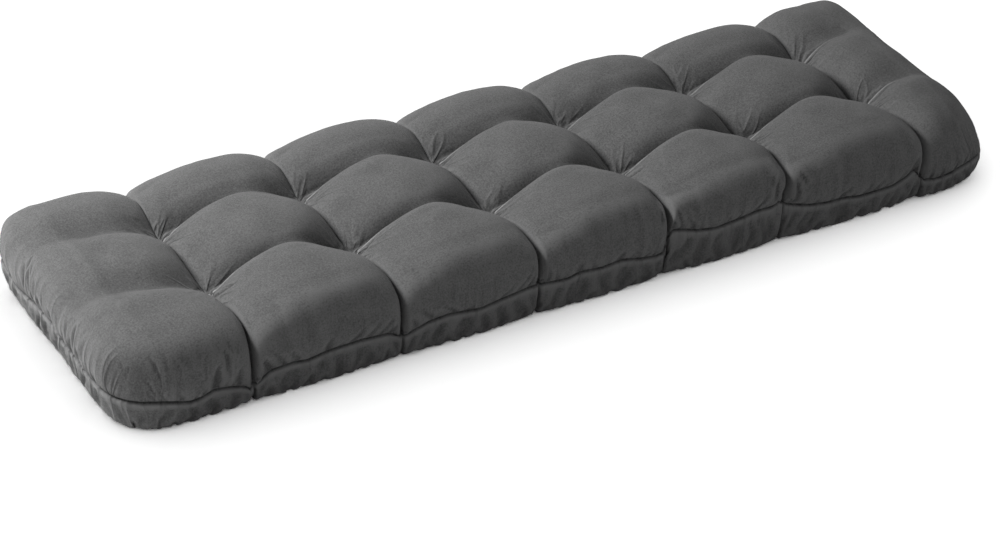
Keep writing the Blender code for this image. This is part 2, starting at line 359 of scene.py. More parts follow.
def tuft_folds(patch, reach, tuft_x, way, rng):
    """How far the folds round one column's tufts stand out of the filling, (across, row).

    Each fold is a ridge from a tuft: height exp(-|d| / width), d metres off its line. It widens on its way
    and fades towards its end. The strongest lies along the row of tufts. way is 1 where the tuft is at the
    patch's left crease and -1 at its right one.
    """
    from_front = np.where(np.arange(len(reach)) < len(reach) // 2, reach, 2 * MIDDLE_AT - reach)
    out = np.zeros(patch.shape[:2])
    for row in (TUFT_AT, 2 * MIDDLE_AT - TUFT_AT):
        along_x, along_y = way * (patch[..., 0] - tuft_x), from_front[None] - row
        for k, (angle, length, height) in enumerate(TUFT_FOLDS[way]):
            angle = math.radians(angle + rng.uniform(-9, 9) * (k > 0))
            length *= 1 + rng.uniform(-0.25, 0.25) * (k > 0)
            height *= rng.uniform(0.7, 1.2)
            run = along_x * math.cos(angle) + along_y * math.sin(angle)
            off = along_y * math.cos(angle) - along_x * math.sin(angle)
            off = off - FOLD_CURVE * (run / length) ** 2 * (-1) ** k
            width = FOLD_WIDTH + (MAIN_WIDENS if k == 0 else OTHERS_WIDEN) * np.clip(run, 0, None)
            fade = ease((run + 0.002) / 0.008) * (1 - ease((run - 0.25 * length) / (0.75 * length)))
            out += height * fade * np.exp(-np.abs(off) / width)
    return out


def puff_patches(level):
    """The five inner columns as the filling shapes them, (column, across, row, xyz), from crease to crease.

    Across a column the cloth leaves the line between its creases by its swelling's share of the way to the
    crown.
    """
    reach, side = cloth_rows(level)
    middle, half = creases(reach, side), slot_half(reach, side)
    left, right = middle[:-1].copy(), middle[1:].copy()
    left[..., 0] += half
    right[..., 0] -= half
    t = np.linspace(0, 1, PUFF_STEPS // level + 1)
    t = 0.5 * t + 0.25 * (1 - np.cos(math.pi * t))
    section = section_at(reach, side)
    swell = swelling(2 * t[:, None] - 1, reach, side, True)[None]
    points = left[:, None] + (right - left)[:, None] * t[None, :, None, None]
    points[..., 1] += (side * (WIDTH / 2 - section[:, 0]) - points[..., 1]) * swell
    points[..., 2] += (section[:, 1] - points[..., 2]) * swell
    lift = (seam_height(points[..., 0], side) - SEAM_HEIGHT) * np.clip(1 - reach / PUFF_LIFT, 0, 1) ** 1.3
    points[:, 1:-1, :, 2] += lift[:, 1:-1]
    for row, way in ((0, -1.0), (-1, 1.0)):
        x = points[:, :, row, 0]
        points[:, :, row, 1] = way * (WIDTH / 2 - seam_in(x, way))
        points[:, :, row, 2] = seam_height(x, way)
    return points, reach, left, right


def rests(points, full_across, full_along, look, rng):
    """Lengths of the cloth between a patch's points: its shape's own, times 1 + how full it is cut there."""
    across = np.linalg.norm(np.diff(points, axis=0), axis=-1) * (1 + full_across)
    along = np.linalg.norm(np.diff(points, axis=1), axis=-1) * (1 + full_along)
    for rest in (across, along):
        rest *= 1 + look["uneven"] * patchy(rest.shape, (5, 14), rng)
    return across, along


def puff_rests(points, reach, look, rng):
    """Lengths of the cloth in an inner column: fuller round the tufts and by the seams."""
    m = points.shape[0]
    t = np.linspace(-1, 1, m)[:, None]
    tuft = bell(reach - TUFT_AT, FULL_BY_TUFT) * np.abs(t) ** 3 * look["tuft_full"]
    seam = bell(reach, FULL_BY_SEAM) * look["seam_full"]
    across = look["full"] + tuft[1:] + seam
    along = look["full"] + tuft[:, 1:]
    return rests(points, across, along, look, rng)


def with_valleys(z, off, run, y, way):
    """The heights of an end column with its two valleys cut in.

    Each valley's bed goes from just behind its tuft to the y that it nears. It deepens with run, 0 at the end
    seam to 1 at the crease, and its flanks are bells.
    """
    for line, aim, depth in VALLEYS[way]:
        bed = aim + (line * TUFT_Y + VALLEY_START - aim) * ease(run * 1.1)
        past = y - bed
        flank = np.where(past < 0, VALLEY_FRONT, VALLEY_BACK) + VALLEY_WIDENS * (1 - run)
        z = z - depth * run**1.1 * ease(off / VALLEY_FADES[way]) * bell(past, flank)
    return z


def end_patch(level, way):
    """One end column as the filling shapes it, (across, row, xyz), from its end seam to its crease.

    It rises over the end as over a long side. The lesser of the two rises rounds the corner over, and the
    outline is rounded in plan. Two valleys run from the tufts and fade out by the end. way is -1 at the left
    and 1 at the right.
    """
    reach, side = cloth_rows(level)
    crest_in, crest_rise = FRONT_SECTION[CREST_ROW, 0], END_TOP - SEAM_HEIGHT
    crease = creases(reach, side)[0 if way < 0 else -1]
    crease[:, 0] += way * slot_half(reach, side)
    span = LENGTH / 2 - crest_in - way * (crease[:, 0] - END_SHIFT)
    whole = CREST_AT + np.median(span) * 1.03
    off = np.linspace(0, 1, END_STEPS // level + 1)[:, None]
    off = whole * (off + 0.05 * np.sin(math.pi * off))
    t = np.clip((off - CREST_AT) / (whole - CREST_AT), 0, 1)
    swell = swelling(t, reach, side, False)

    climb_off, climb_reach = np.clip(off / CREST_AT, 0, 1), np.clip(reach / CREST_AT, 0, 1)
    over_end = hermite(KNOTS, END_SECTION, np.minimum(off[:, 0], CREST_AT))[:, None]
    over_side = section_at(reach, side)[None]
    rise_side = hermite(KNOTS, END_SECTION, reach)[None, :, 1] / crest_rise
    square = ease((side * (MIDDLE_AT - reach) - 0.03) / 0.12) * END_SQUARE[way]
    rise_end = (over_end[..., 1] / crest_rise) ** (1 - square)
    rise = np.where(off < CREST_AT, lesser(rise_side, rise_end), rise_side)
    rise = np.where((off <= 0) | (reach <= 0), 0, rise)

    even = np.where(reach < CREST_AT, climb_reach * crest_in, over_side[..., 0])
    inward = even + (over_side[..., 0] - even) * climb_off
    inward = over_side[..., 2] * (1 - swell) + inward * swell
    even = climb_off * crest_in
    from_end = even + (over_end[..., 0] - even) * climb_reach
    x = np.where(off < CREST_AT, LENGTH / 2 - from_end, LENGTH / 2 - crest_in - span * t)
    y = side * (WIDTH / 2 - inward)
    z = SEAM_HEIGHT + crest_rise * rise
    z = z + table_curve(END_TILT[way], y) * rise * bell(off, 0.12) + END_CROWN * ease(t / 0.6) * rise
    z = with_valleys(z, off, np.clip(off / whole, 0, 1), y, way)
    x, y = rounded(way * x, y, rise)
    z = np.where(t > 0, crease[:, 2] * (1 - swell) + z * swell, z)
    points = np.stack([x + END_SHIFT, y, z], axis=-1)
    points[-1] = crease

    for row, long_side in ((0, -1.0), (-1, 1.0)):
        x = points[:, row, 0]
        straight = np.abs(x - END_SHIFT) < LENGTH / 2 - CORNER_RADII.max()
        drawn = long_side * (WIDTH / 2 - seam_in(x, long_side))
        points[:, row, 1] = np.where(straight, drawn, points[:, row, 1])
    lift = seam_height(points[..., 0], side) - SEAM_HEIGHT
    end_lift = table_curve(LEFT_SEAM if way < 0 else RIGHT_SEAM, points[..., 1]) - SEAM_HEIGHT
    corner = ease((np.abs(points[..., 0] - END_SHIFT) - LENGTH / 2 + 0.10) / 0.08)
    lift += (end_lift - lift) * corner * (off < CREST_AT * 3)
    away = np.minimum(off, reach)
    points[:-1, :, 2] += (lift * np.clip(1 - away / PUFF_LIFT, 0, 1) ** 1.3)[:-1]
    return points, reach, off[:, 0]


def end_rests(points, reach, off, look, rng):
    """Lengths of the cloth in an end column: fuller along both seams, for their pleats."""
    by_seam, by_end = (np.exp(-((v / FULL_BY_SEAM) ** 1.5)) for v in (reach, off))
    by_seam = by_seam * ease((off[1:, None] - 0.03) / 0.05)
    by_end = by_end[:, None] * ease((reach[1:] - 0.04) / 0.06)
    tuft = bell(reach - TUFT_AT, FULL_BY_TUFT) * look["tuft_full"] * (off[1:, None] / off[-1]) ** 4
    across = look["full"] + look["corner_full"] * by_seam + tuft
    along = look["full"] + look["corner_full"] * by_end
    return rests(points, across, along, look, rng)


def bond(points, free, one, other, rest, stiff):
    """Moves both ends of many bonds along them, by stiff times what they are too long or too short."""
    a, b = points[one], points[other]
    gap = b - a
    length = np.sqrt(np.einsum("...k,...k->...", gap, gap)) + 1e-9
    free_a, free_b = free[one], free[other]
    part = (length - rest) / length * stiff / np.maximum(free_a + free_b, 1e-6)
    gap *= part[..., None]
    points[one] = a + gap * free_a[..., None]
    points[other] = b - gap * free_b[..., None]


def relax(points, shape, held, across, along, limit, steps, rounds, push, bend=0.25, slack=1.0):
    """Relaxes grids of cloth, (patch, i, j, xyz), under the push of the filling along their normals.

    In each step a point keeps DAMP times its last move and is pushed, and then every bond is drawn to its
    length in turn: along both grid lines, along both diagonals, which are slack times as long as in the
    shape, and between every second point, which resists bends. Then limit brings stray points back.
    """
    points, across, along = (v.astype(np.float32) for v in (points, across, along))
    free = np.where(held, 0, 1).astype(np.float32)
    _, m, n, _ = points.shape
    before = points.copy()
    slant = np.linalg.norm(shape[:, 1:, 1:] - shape[:, :-1, :-1], axis=-1) * np.float32(slack)
    counter = np.linalg.norm(shape[:, 1:, :-1] - shape[:, :-1, 1:], axis=-1) * np.float32(slack)
    across_2, along_2 = across[:, :-1] + across[:, 1:], along[:, :, :-1] + along[:, :, 1:]
    every = slice(None)
    for _ in range(steps):
        line_i, line_j = np.zeros_like(points), np.zeros_like(points)
        line_i[:, 1:-1] = points[:, 2:] - points[:, :-2]
        line_j[:, :, 1:-1] = points[:, :, 2:] - points[:, :, :-2]
        move = (points - before) * DAMP + np.cross(line_i, line_j) * push
        before = points
        points = points + move * free[..., None]
        for _ in range(rounds):
            for p in (0, 1):
                one, other = slice(p, m - 1, 2), slice(p + 1, m, 2)
                bond(points, free, (every, one), (every, other), across[:, p::2], 1.0)
                one, other = slice(p, n - 1, 2), slice(p + 1, n, 2)
                bond(points, free, (every, every, one), (every, every, other), along[:, :, p::2], 1.0)
            for p in (0, 1):
                i, i_next = slice(p, m - 1, 2), slice(p + 1, m, 2)
                for q in (0, 1):
                    j, j_next = slice(q, n - 1, 2), slice(q + 1, n, 2)
                    bond(points, free, (every, i, j), (every, i_next, j_next), slant[:, p::2, q::2], SHEAR)
                    bond(points, free, (every, i_next, j), (every, i, j_next), counter[:, p::2, q::2], SHEAR)
            for p in range(4):
                one, other = slice(p, m - 2, 4), slice(p + 2, m, 4)
                bond(points, free, (every, one), (every, other), across_2[:, p::4], bend)
                one, other = slice(p, n - 2, 4), slice(p + 2, n, 4)
                bond(points, free, (every, every, one), (every, every, other), along_2[:, :, p::4], bend)
            limit(points)
    return points.astype(float)


def refined(points):
    """Twice as many grid steps each way, with the new points midway."""
    columns, m, n, _ = points.shape
    wide = np.zeros((columns, 2 * m - 1, n, 3))
    wide[:, ::2], wide[:, 1::2] = points, (points[:, 1:] + points[:, :-1]) / 2
    both = np.zeros((columns, 2 * m - 1, 2 * n - 1, 3))
    both[:, :, ::2], both[:, :, 1::2] = wide, (wide[:, :, 1:] + wide[:, :, :-1]) / 2
    return both


def rim(points):
    """True on the four edges of each patch."""
    held = np.ones(points.shape[:3], bool)
    held[:, 1:-1, 1:-1] = False
    return held


def filling(made):
    """The made shape and its unit normals, which bound how far the cloth may leave it."""
    line_i, line_j = np.gradient(made, axis=1), np.gradient(made, axis=2)
    normal = np.cross(line_i, line_j)
    normal = normal / (np.linalg.norm(normal, axis=-1)[..., None] + 1e-12)
    return made.astype(np.float32), normal.astype(np.float32)


def lumpy(made, reach, tufts, look, rng):
    """The made shape with the filling's own unevenness, streaks up the faces and the tufts' folds.

    Unevenness and streaks are random values, look["lumps"] or so in or out. tufts gives each patch's pairs of
    a tuft line's x and the way that its folds run from it.
    """
    _, normal = filling(made)
    made = made.copy()
    for patch, out, lines in zip(made, normal, tufts):
        m, n = patch.shape[:2]
        uneven = patchy((m, n), (4, 11), rng) + 0.5 * patchy((m, n), (9, 24), rng)
        across, along = (np.sin(math.pi * np.linspace(0, 1, count)) for count in (m, n))
        inner = across[:, None] * along**0.5
        streaks = patchy((m, n), (13, 5), rng) + 0.6 * patchy((m, n), (21, 7), rng)
        raised = look["lumps"] * (uneven + streaks * bell(reach - 0.045, 0.040)) * inner
        for tuft_x, way in lines:
            folds = tuft_folds(patch, reach, tuft_x, way, rng)
            raised = raised + look["folds"] * folds * np.minimum(inner * 8, 1)
        flip = np.sign(out[m // 2, n // 2, 2])
        patch += out * (flip * raised)[..., None]
    return made


def keep_near(cloth, shape, normal, give):
    """Brings points back that lie further than give in or out of the filling's shape, along its normals."""
    out = np.einsum("...k,...k->...", cloth - shape, normal)
    cloth += normal * (np.clip(out, -give, give) - out)[..., None]


def leeway(from_crease, from_seam, reach, look):
    """How far the cloth may leave the filling: more by creases and seams, least on crowns and at a tuft."""
    from_tuft = np.hypot(from_crease, reach - TUFT_AT)
    by_crease = bell(from_crease, 0.022) * (0.25 + 0.75 * ease((reach - 0.07) / 0.05))
    loose = np.maximum(by_crease, 0.9 * bell(from_seam, 0.040)) * (1 - 0.8 * bell(from_tuft, 0.045))
    return (look["give"] + look["wrinkles"] * loose).astype(np.float32)


def start_from(points, made, look, rng):
    """The made shape, or the last level's refined, with its edges in place and a little seeded unevenness."""
    held = rim(made)
    points = made.copy() if points is None else refined(points)
    points[held] = made[held]
    return points + rng.normal(0, look["crumple"], points.shape) * ~held[..., None], held


def relaxed_puffs(look):
    """The five inner columns after relaxing, coarse and then fine."""
    points = None
    for level in (2, 1):
        rng = np.random.default_rng(look["seed"])
        made, reach, left, right = puff_patches(level)
        tufts = [((LINE_X[k], 1), (LINE_X[k + 1], -1)) for k in range(COLUMN_LINES - 1)]
        made = lumpy(made, reach, tufts, look, rng)
        pairs = [puff_rests(patch, reach, look, rng) for patch in made]
        across, along = (np.stack(rest) for rest in zip(*pairs))
        points, held = start_from(points, made, look, rng)
        low, high = left[:, None, :, 0], right[:, None, :, 0]
        shape, normal = filling(made)
        half = COLUMN_PITCH / 2
        from_crease = half - np.abs(shape[0, :, len(reach) // 2, 0] - LINE_X[0] - half)[:, None] + 0 * reach
        give = leeway(from_crease, reach, reach, look)

        def limit(cloth, low=low, high=high, shape=shape, normal=normal, give=give):
            keep_near(cloth, shape, normal, give)
            np.clip(cloth[..., 0], low, high, out=cloth[..., 0])

        push = look["push"] * (1 if level == 2 else 4)
        steps, rounds = look["steps"][level]
        points = relax(points, shape, held, across, along, limit, steps, rounds, push)
    return points


def relaxed_ends(look):
    """Both end columns after relaxing, each from its end seam to its crease, left and then right."""
    points = None
    for level in (2, 1):
        rng = np.random.default_rng(look["seed"] + 4)
        (left, reach, off), (right, *_) = (end_patch(level, way) for way in (-1, 1))
        made = lumpy(np.stack([left, right]), reach, (((LINE_X[0], -1),), ((LINE_X[-1], 1),)), look, rng)
        pairs = [end_rests(patch, reach, off, look, rng) for patch in made]
        across, along = (np.stack(rest) for rest in zip(*pairs))
        points, held = start_from(points, made, look, rng)
        crease = made[:, -1:, :, 0]
        shape, normal = filling(made)
        give = leeway(off[-1] - off[:, None] + 0 * reach, np.minimum(reach, off[:, None]), reach, look)

        def limit(cloth, crease=crease, shape=shape, normal=normal, give=give):
            keep_near(cloth, shape, normal, give)
            np.minimum(cloth[0, ..., 0], crease[0], out=cloth[0, ..., 0])
            np.maximum(cloth[1, ..., 0], crease[1], out=cloth[1, ..., 0])

        push = look["end_push"] * (1 if level == 2 else 4) * np.array([1.0, -1.0])[:, None, None, None]
        steps, rounds = look["steps"][level]
        points = relax(points, shape, held, across, along, limit, steps, rounds, push.astype(np.float32))
    return points


# ------------------------------------------------------------------ one closed cushion

BAND_STEPS = 17  # rows of the band past its lip
BAND_IN = 0.020  # how far in from the seam the band's grid ends and the underside starts
BAND_TURN = 0.72  # share of that at which the band meets the floor
TURN_STEPS = 10  # the rows of them that lead down to the floor
# Metres out and up from the seam, at the bottom of the groove below it and at the three rows of the lip.
GROOVE = (-0.0042, -0.0018)
LIP = ((-0.0006, -0.0036), (0.0018, -0.0052), (0.0016, -0.0078))
FOOT_OUT, FOOT_IN = 0.003, 0.009  # how far the band's foot lies out at mid puff, and in at the creases
FOOT_REACH = 0.035  # how far along the seam a crease draws the foot in
BAND_LONGER = 1.04  # how much longer the band's cloth is down it than its shape
CHANNEL, DIMPLE = 0.0028, 0.0092  # heights: of the channels below the ties, and of the dimples in them
DIMPLE_Y = 0.081
CORNER_LIFT = 0.016  # how far the band's foot leaves the floor at the right front corner
UNDER_STEP = 0.0125  # between the points of the underside
BAND_V, UNDER_V = -1, 2  # where the band and the underside lie in the cloth map, clear of the top cloth
# Painted light and shade of each of the band's rows, from the groove on: below 0 painted shade, darkest in
# the groove, above 0 painted highlight, and more than 1 the painted pale edge of the seam's lip.
SEAM_PAINTED_LIGHT = np.array([-2.5, -0.2, 2.0, 1.6] + [0.1] * BAND_STEPS)


def slot_lines(reach, side, line):
    """Three lines that close the gap at a crease, (3, row, xyz): down one puff, the bottom, up the other."""
    middle, half = creases(reach, side)[line], slot_half(reach, side)
    way = np.gradient(middle[:, 1:], axis=0)
    way /= np.linalg.norm(way, axis=1)[:, None]
    inward = np.stack([np.zeros(len(way)), way[:, 1], -way[:, 0]], axis=1)
    depth = 0.003 + SLOT_DEPTH * ease(reach / 0.014) * ease((TUFT_AT - reach) / 0.04)
    return np.stack([
        middle + inward * (depth * share)[:, None] + np.outer(half * width, (1, 0, 0))
        for width, share in ((-0.7, 0.6), (0, 1), (0.7, 0.6))
    ])


def top_grid(look):
    """The whole top cloth, (across, row, xyz), from the left end seam to the right one."""
    puffs, ends = relaxed_puffs(look), relaxed_ends(look)
    reach, side = cloth_rows(1)
    parts = [ends[0]]
    for line in range(COLUMN_LINES):
        parts.append(slot_lines(reach, side, line))
        parts.append(puffs[line] if line < COLUMN_LINES - 1 else ends[1][::-1])
    return np.concatenate(parts)


def outward(loop):
    """Level unit vectors out of a closed line: its tangent, evened out over 8 mm, turned to the right."""
    flat = np.vstack([loop[:, :2], loop[:1, :2]])
    at = np.concatenate([[0], np.cumsum(np.linalg.norm(np.diff(flat, axis=0), axis=1))])
    count = int(at[-1] / 0.002)
    even = np.linspace(0, at[-1], count, endpoint=False)
    points = np.stack([np.interp(even, at, flat[:, k]) for k in (0, 1)], axis=1)
    tangent = np.roll(points, -1, axis=0) - np.roll(points, 1, axis=0)
    weight = bell(np.arange(-12, 13), 4 * 1.414)  # a normal curve over 4 of the 2 mm steps
    tangent = sum(w * np.roll(tangent, s, axis=0) for w, s in zip(weight, range(-12, 13)))
    tangent /= np.linalg.norm(tangent, axis=1)[:, None]
    found = np.stack([tangent[:, 1], -tangent[:, 0], np.zeros(count)], axis=1)
    found = np.vstack([found, found[:1]])
    found = np.stack([np.interp(at[:-1], np.append(even, at[-1]), found[:, k]) for k in range(3)], axis=1)
    return found / np.linalg.norm(found, axis=1)[:, None]


def under_height(x, y):
    """Height of the underside: 12 mm dimples below the tufts, and shallow channels between them."""
    across = x[..., None] - LINE_X
    dimples = sum(bell(across, 0.017) * bell(y[..., None] - way * DIMPLE_Y, 0.020) for way in (-1, 1))
    return (CHANNEL * bell(across, 0.012) + DIMPLE * dimples).max(axis=-1) + corner_lift(x, y)


def corner_lift(x, y):
    """How far the band's foot leaves the floor: most at the right front corner, eased to none over 90 mm."""
    return CORNER_LIFT * ease((x - 0.590) / 0.09) * ease((-y - 0.130) / 0.09)


def band_shape(seam):
    """The band below the seam as the filling shapes it, (along, row, xyz).

    From the lip it turns in to the floor on a quarter ellipse, and then runs in flat. Its foot lies out at
    mid puff and in at the creases.
    """
    out = outward(seam)
    lip = np.stack([seam + out * away + (0, 0, up) for away, up in LIP], axis=1)
    plain = seam.copy()
    straight = np.abs(plain[:, 0] - END_SHIFT) < LENGTH / 2 - CORNER_RADII.max()
    drawn = straight & (np.abs(plain[:, 1]) > WIDTH / 3)
    away = np.abs(plain[drawn, :1] - LINE_X - FRONT_LEAN * (plain[drawn, 1:2] < 0)).min(axis=1)
    foot_y = WIDTH / 2 + FOOT_OUT - (FOOT_OUT + FOOT_IN) * bell(away, FOOT_REACH)
    plain[drawn, 1] = np.sign(plain[drawn, 1]) * foot_y
    last = lip[:, -1]
    inward = plain - outward(plain) * BAND_IN - last
    turn = np.linspace(0, 1, TURN_STEPS + 1)[1:] * math.pi / 2
    flat = np.linspace(BAND_TURN, 1, BAND_STEPS - TURN_STEPS + 1)[1:]
    away = np.concatenate([BAND_TURN * (1 - np.cos(turn)), flat])
    height = np.concatenate([1 - np.sin(turn), np.zeros(len(flat))])
    free = last[:, None] + inward[:, None] * away[None, :, None]
    foot = corner_lift(free[..., 0], free[..., 1])
    free[..., 2] = foot + (last[:, None, 2] - foot) * height
    free[:, -1, 2] = under_height(free[:, -1, 0], free[:, -1, 1])
    return np.concatenate([lip, free], axis=1)


def relaxed_band(seam, look):
    """The band after relaxing, (along, row, xyz), open where it starts and ends at the middle of the back.

    Its cloth is longer than the seam, so that it gathers.
    """
    made = band_shape(seam)
    made = np.concatenate([made, made[:1]])[None]
    rng = np.random.default_rng(look["seed"] + 9)
    across = np.repeat(np.linalg.norm(np.diff(made[:, :, :1], axis=1), axis=-1), made.shape[2], axis=2)
    row = np.arange(made.shape[2])
    gather = ease((row - 1) / 4) * (1 - ease((row - 8) / 6))
    across = across * (1 + look["gather"] * gather * (1 + 0.8 * patchy(across.shape[1:], (40, 1), rng)))
    along = np.linalg.norm(np.diff(made, axis=2), axis=-1) * BAND_LONGER
    held = rim(made)
    held[:, :, :3] = True
    shape, normal = filling(made)
    waves = patchy(made.shape[1:3], (made.shape[1] // 7, 3), rng)[None, ..., None]
    start = made + look["band_waves"] * normal * waves * ~held[..., None]
    give = look["band_give"] * (1 - 0.75 * ease((row - 7) / 5))

    def limit(cloth):
        keep_near(cloth, shape, normal, give)
        np.maximum(cloth[..., 2], 0, out=cloth[..., 2])

    steps, rounds = look["steps"]["band"]
    push, bend, slack = look["band_push"], look["band_bend"], 1 + look["gather"] / 2
    return relax(start, shape, held, across, along, limit, steps, rounds, push, bend, slack)[0]


def fill_points(ring):
    """Points and triangles, seen from below, of the underside within a closed ring."""
    low, high = ring[:, :2].min(axis=0), ring[:, :2].max(axis=0)
    counts = [int((b - a) / UNDER_STEP) for a, b in zip(low, high)]
    x, y = np.meshgrid(*(np.linspace(a, b, n) for a, b, n in zip(low, high, counts)), indexing="ij")
    x[:, 1::2] += UNDER_STEP / 2
    inner = np.stack([x.ravel(), y.ravel()], axis=1)
    gap = np.abs(inner[:, None] - ring[None, ::3, :2])
    inner = inner[np.hypot(gap[..., 0], gap[..., 1]).min(axis=1) > UNDER_STEP * 0.6]
    count = len(ring)
    flat = [Vector(p) for p in np.vstack([ring[:, :2], inner])]
    border = [(k, (k + 1) % count) for k in range(count)]
    points, _, faces, from_points, _, _ = geometry.delaunay_2d_cdt(flat, border, [], 1, 1e-7)
    if len(points) != len(flat):
        raise RuntimeError("the underside's ring crosses itself")
    where = np.array([of[0] for of in from_points])
    faces = where[np.array([list(face) for face in faces])]
    return inner, faces[:, ::-1]


def add_mesh(name, points, quads, quad_uv, triangles, tri_uv, fold):
    """A mesh object from arrays of points, quads and triangles, with its cloth map in metres.

    fold goes into the mesh as an attribute of its points: 1 on a sharp ridge, -1 deep in a crease. The cloth
    material paints highlight by it on ridges and shade in creases.
    """
    mesh = bpy.data.meshes.new(name)
    mesh.from_pydata(points.tolist(), [], quads.tolist() + triangles.tolist())
    layer = mesh.uv_layers.new(name="cloth")
    flat = np.concatenate([quad_uv.reshape(-1, 2), tri_uv.reshape(-1, 2)])
    layer.data.foreach_set("uv", flat.ravel())
    mesh.attributes.new("fold", "FLOAT", "POINT").data.foreach_set("value", fold.astype(np.float32))
    mesh.shade_smooth()
    if mesh.validate():
        raise RuntimeError(f"{name} has faulty faces")
    obj = bpy.data.objects.new(name, mesh)
    bpy.context.scene.collection.objects.link(obj)
    return obj


def folds_of(grid, wide, full):
    """How far each point of a grid stands out of those wide steps away, as a share of full metres."""
    padded = np.pad(grid, ((wide, wide), (wide, wide), (0, 0)), mode="edge")
    m, n = grid.shape[:2]
    near = [padded[a:a + m, b:b + n] for a, b in ((0, wide), (2 * wide, wide), (wide, 0), (wide, 2 * wide))]
    _, normal = filling(grid[None])
    out = np.einsum("...k,...k->...", grid - sum(near) / 4, normal[0])
    return np.clip(out / full, -1, 1)


def grid_quads(ids):
    """The quads of a grid of point numbers, facing up where i runs along X and j along Y."""
    return np.stack([ids[:-1, :-1], ids[1:, :-1], ids[1:, 1:], ids[:-1, 1:]], axis=-1).reshape(-1, 4)


def run_length(points):
    """Distance along the first axis of a grid, averaged over the second."""
    step = np.linalg.norm(np.diff(points, axis=0), axis=-1).mean(axis=1)
    return np.concatenate([[0], np.cumsum(step)])


def flat_map(u, v):
    """The cloth map of a grid's points, from its lengths along and across."""
    return np.stack(np.broadcast_arrays(u[:, None], v[None]), axis=-1).reshape(-1, 2)


def top_fold_light(top):
    """The fold attribute of the top cloth, for painted light and shade: its small folds, and the hollows of
    its creases and tufts.
    """
    small = folds_of(top, 2, 0.0012) * 0.5 + folds_of(top, 1, 0.0005) * 0.4
    return np.clip(small + np.minimum(folds_of(top, 9, 0.012), 0) * 0.9, -1, 1)


def make_cushion(look):
    """The cushion: top cloth, groove, band and underside, as one closed surface.

    It comes with the top cloth's length, and how far along it the first and second lines of tufts lie.
    """
    top = top_grid(look)
    m, n, _ = top.shape
    top_points = top.reshape(-1, 3)
    ids = np.arange(m * n).reshape(m, n)
    loop = np.concatenate([ids[:-1, 0], ids[-1, :-1], ids[:0:-1, -1], ids[0, :0:-1]])
    first = int(np.argmin(np.abs(top_points[loop, 0]) + (top_points[loop, 1] < 0)))
    loop = np.roll(loop, -first)
    seam = top_points[loop]
    band = relaxed_band(seam, look)[:-1]
    groove = seam + outward(seam) * GROOVE[0] + (0, 0, GROOVE[1])
    rows = np.concatenate([groove[:, None], band], axis=1)
    count, deep, _ = rows.shape
    inner, faces = fill_points(rows[:, -1])
    under = np.column_stack([inner, under_height(inner[:, 0], inner[:, 1])])
    points = np.concatenate([top_points, rows.reshape(-1, 3), under])

    row_ids = np.column_stack([loop, m * n + np.arange(count * deep).reshape(count, deep)])
    row_ids = np.vstack([row_ids, row_ids[:1]])
    top_quads, band_quads = grid_quads(ids), grid_quads(row_ids)[:, ::-1]
    numbers = np.concatenate([row_ids[:-1, -1], m * n + count * deep + np.arange(len(inner))])
    triangles = numbers[faces]

    reach, side = cloth_rows(1)
    u = run_length(top)
    top_uv = flat_map(u, side * (MIDDLE_AT - reach))[top_quads]
    along = run_length(np.vstack([rows[:, 3:4], rows[:1, 3:4]]))
    down = np.concatenate([[0], run_length(rows.transpose(1, 0, 2)) + 0.002])
    flat_ids = np.arange((count + 1) * (deep + 1)).reshape(count + 1, deep + 1)
    band_uv = flat_map(along, BAND_V - down)[grid_quads(flat_ids)[:, ::-1]]
    # The fold attribute, which the cloth material paints as highlight and shade: the top cloth's; the band's
    # rows, with painted shade in the groove, painted highlight on the lip, and painted light and shade along
    # the gathers; none on the underside.
    fold = np.concatenate([
        top_fold_light(top).ravel(),
        (SEAM_PAINTED_LIGHT - 0.5 * folds_of(rows, 2, 0.003)).ravel(),
        np.zeros(len(inner)),
    ])
    cloth = add_mesh(
        "cushion_cloth",
        points,
        np.concatenate([top_quads, band_quads]),
        np.concatenate([top_uv, band_uv]),
        triangles,
        points[triangles][..., :2] + (0, UNDER_V),
        fold,
    )
    return cloth, u[[-1, END_STEPS + 2, END_STEPS + 2 + PUFF_STEPS + 4]]


# How the cloth is cut and relaxed: shares by which it is fuller than its shape, then metres by which it may
# leave it, pushes, and each level's steps with the rounds of bonds in a step.
RELAX = {
    "full": 0.003, "seam_full": 0.020, "tuft_full": 0.02, "corner_full": 0.05,
    "uneven": 0.010, "crumple": 0.0003, "give": 0.0006, "push": 0.08, "end_push": 0.08,
    "band_push": 0.05, "band_bend": 0.08, "band_give": 0.0034, "band_waves": 0.0015,
    "steps": {2: (300, 2), 1: (80, 4), "band": (150, 4)},
}


# ------------------------------------------------------------------ thread ties

STRAND_STEPS, ROUND_STEPS = 48, 12  # grid steps along a strand and round it
STRAND_TURN = 0.95  # radius of the circle that its middle goes round, as a share of its own
STRAND_BOW = 0.0016  # how far its ends bow down


def strand(middle, reach, low, radius, turns, start):
    """One strand, (along, round, xyz): a round tube that turns about the tie's own line.

    Its middle goes round a circle just under its own radius, and both its ends bow down into the tuft.
    """
    t = np.linspace(-1, 1, STRAND_STEPS + 1)
    turn = t * turns * math.pi + start
    x = middle[0] + radius * STRAND_TURN * np.cos(turn)
    z = low + 2 * radius + radius * STRAND_TURN * np.sin(turn) - STRAND_BOW * np.abs(t) ** 4
    path = np.stack([x, middle[1] + reach * t, z], axis=1)
    way = np.gradient(path, axis=0)
    way /= np.linalg.norm(way, axis=1)[:, None]
    right = np.cross(way, (0, 0, 1.0))
    right /= np.linalg.norm(right, axis=1)[:, None]
    up = np.cross(right, way)
    around = np.linspace(0, 2 * math.pi, ROUND_STEPS, endpoint=False)
    thick = radius * np.sqrt(np.clip(1 - np.abs(t) ** 12, 0.02, 1))
    ring = right[:, None] * np.cos(around)[:, None] + up[:, None] * np.sin(around)[:, None]
    return path, path[:, None] + thick[:, None, None] * ring


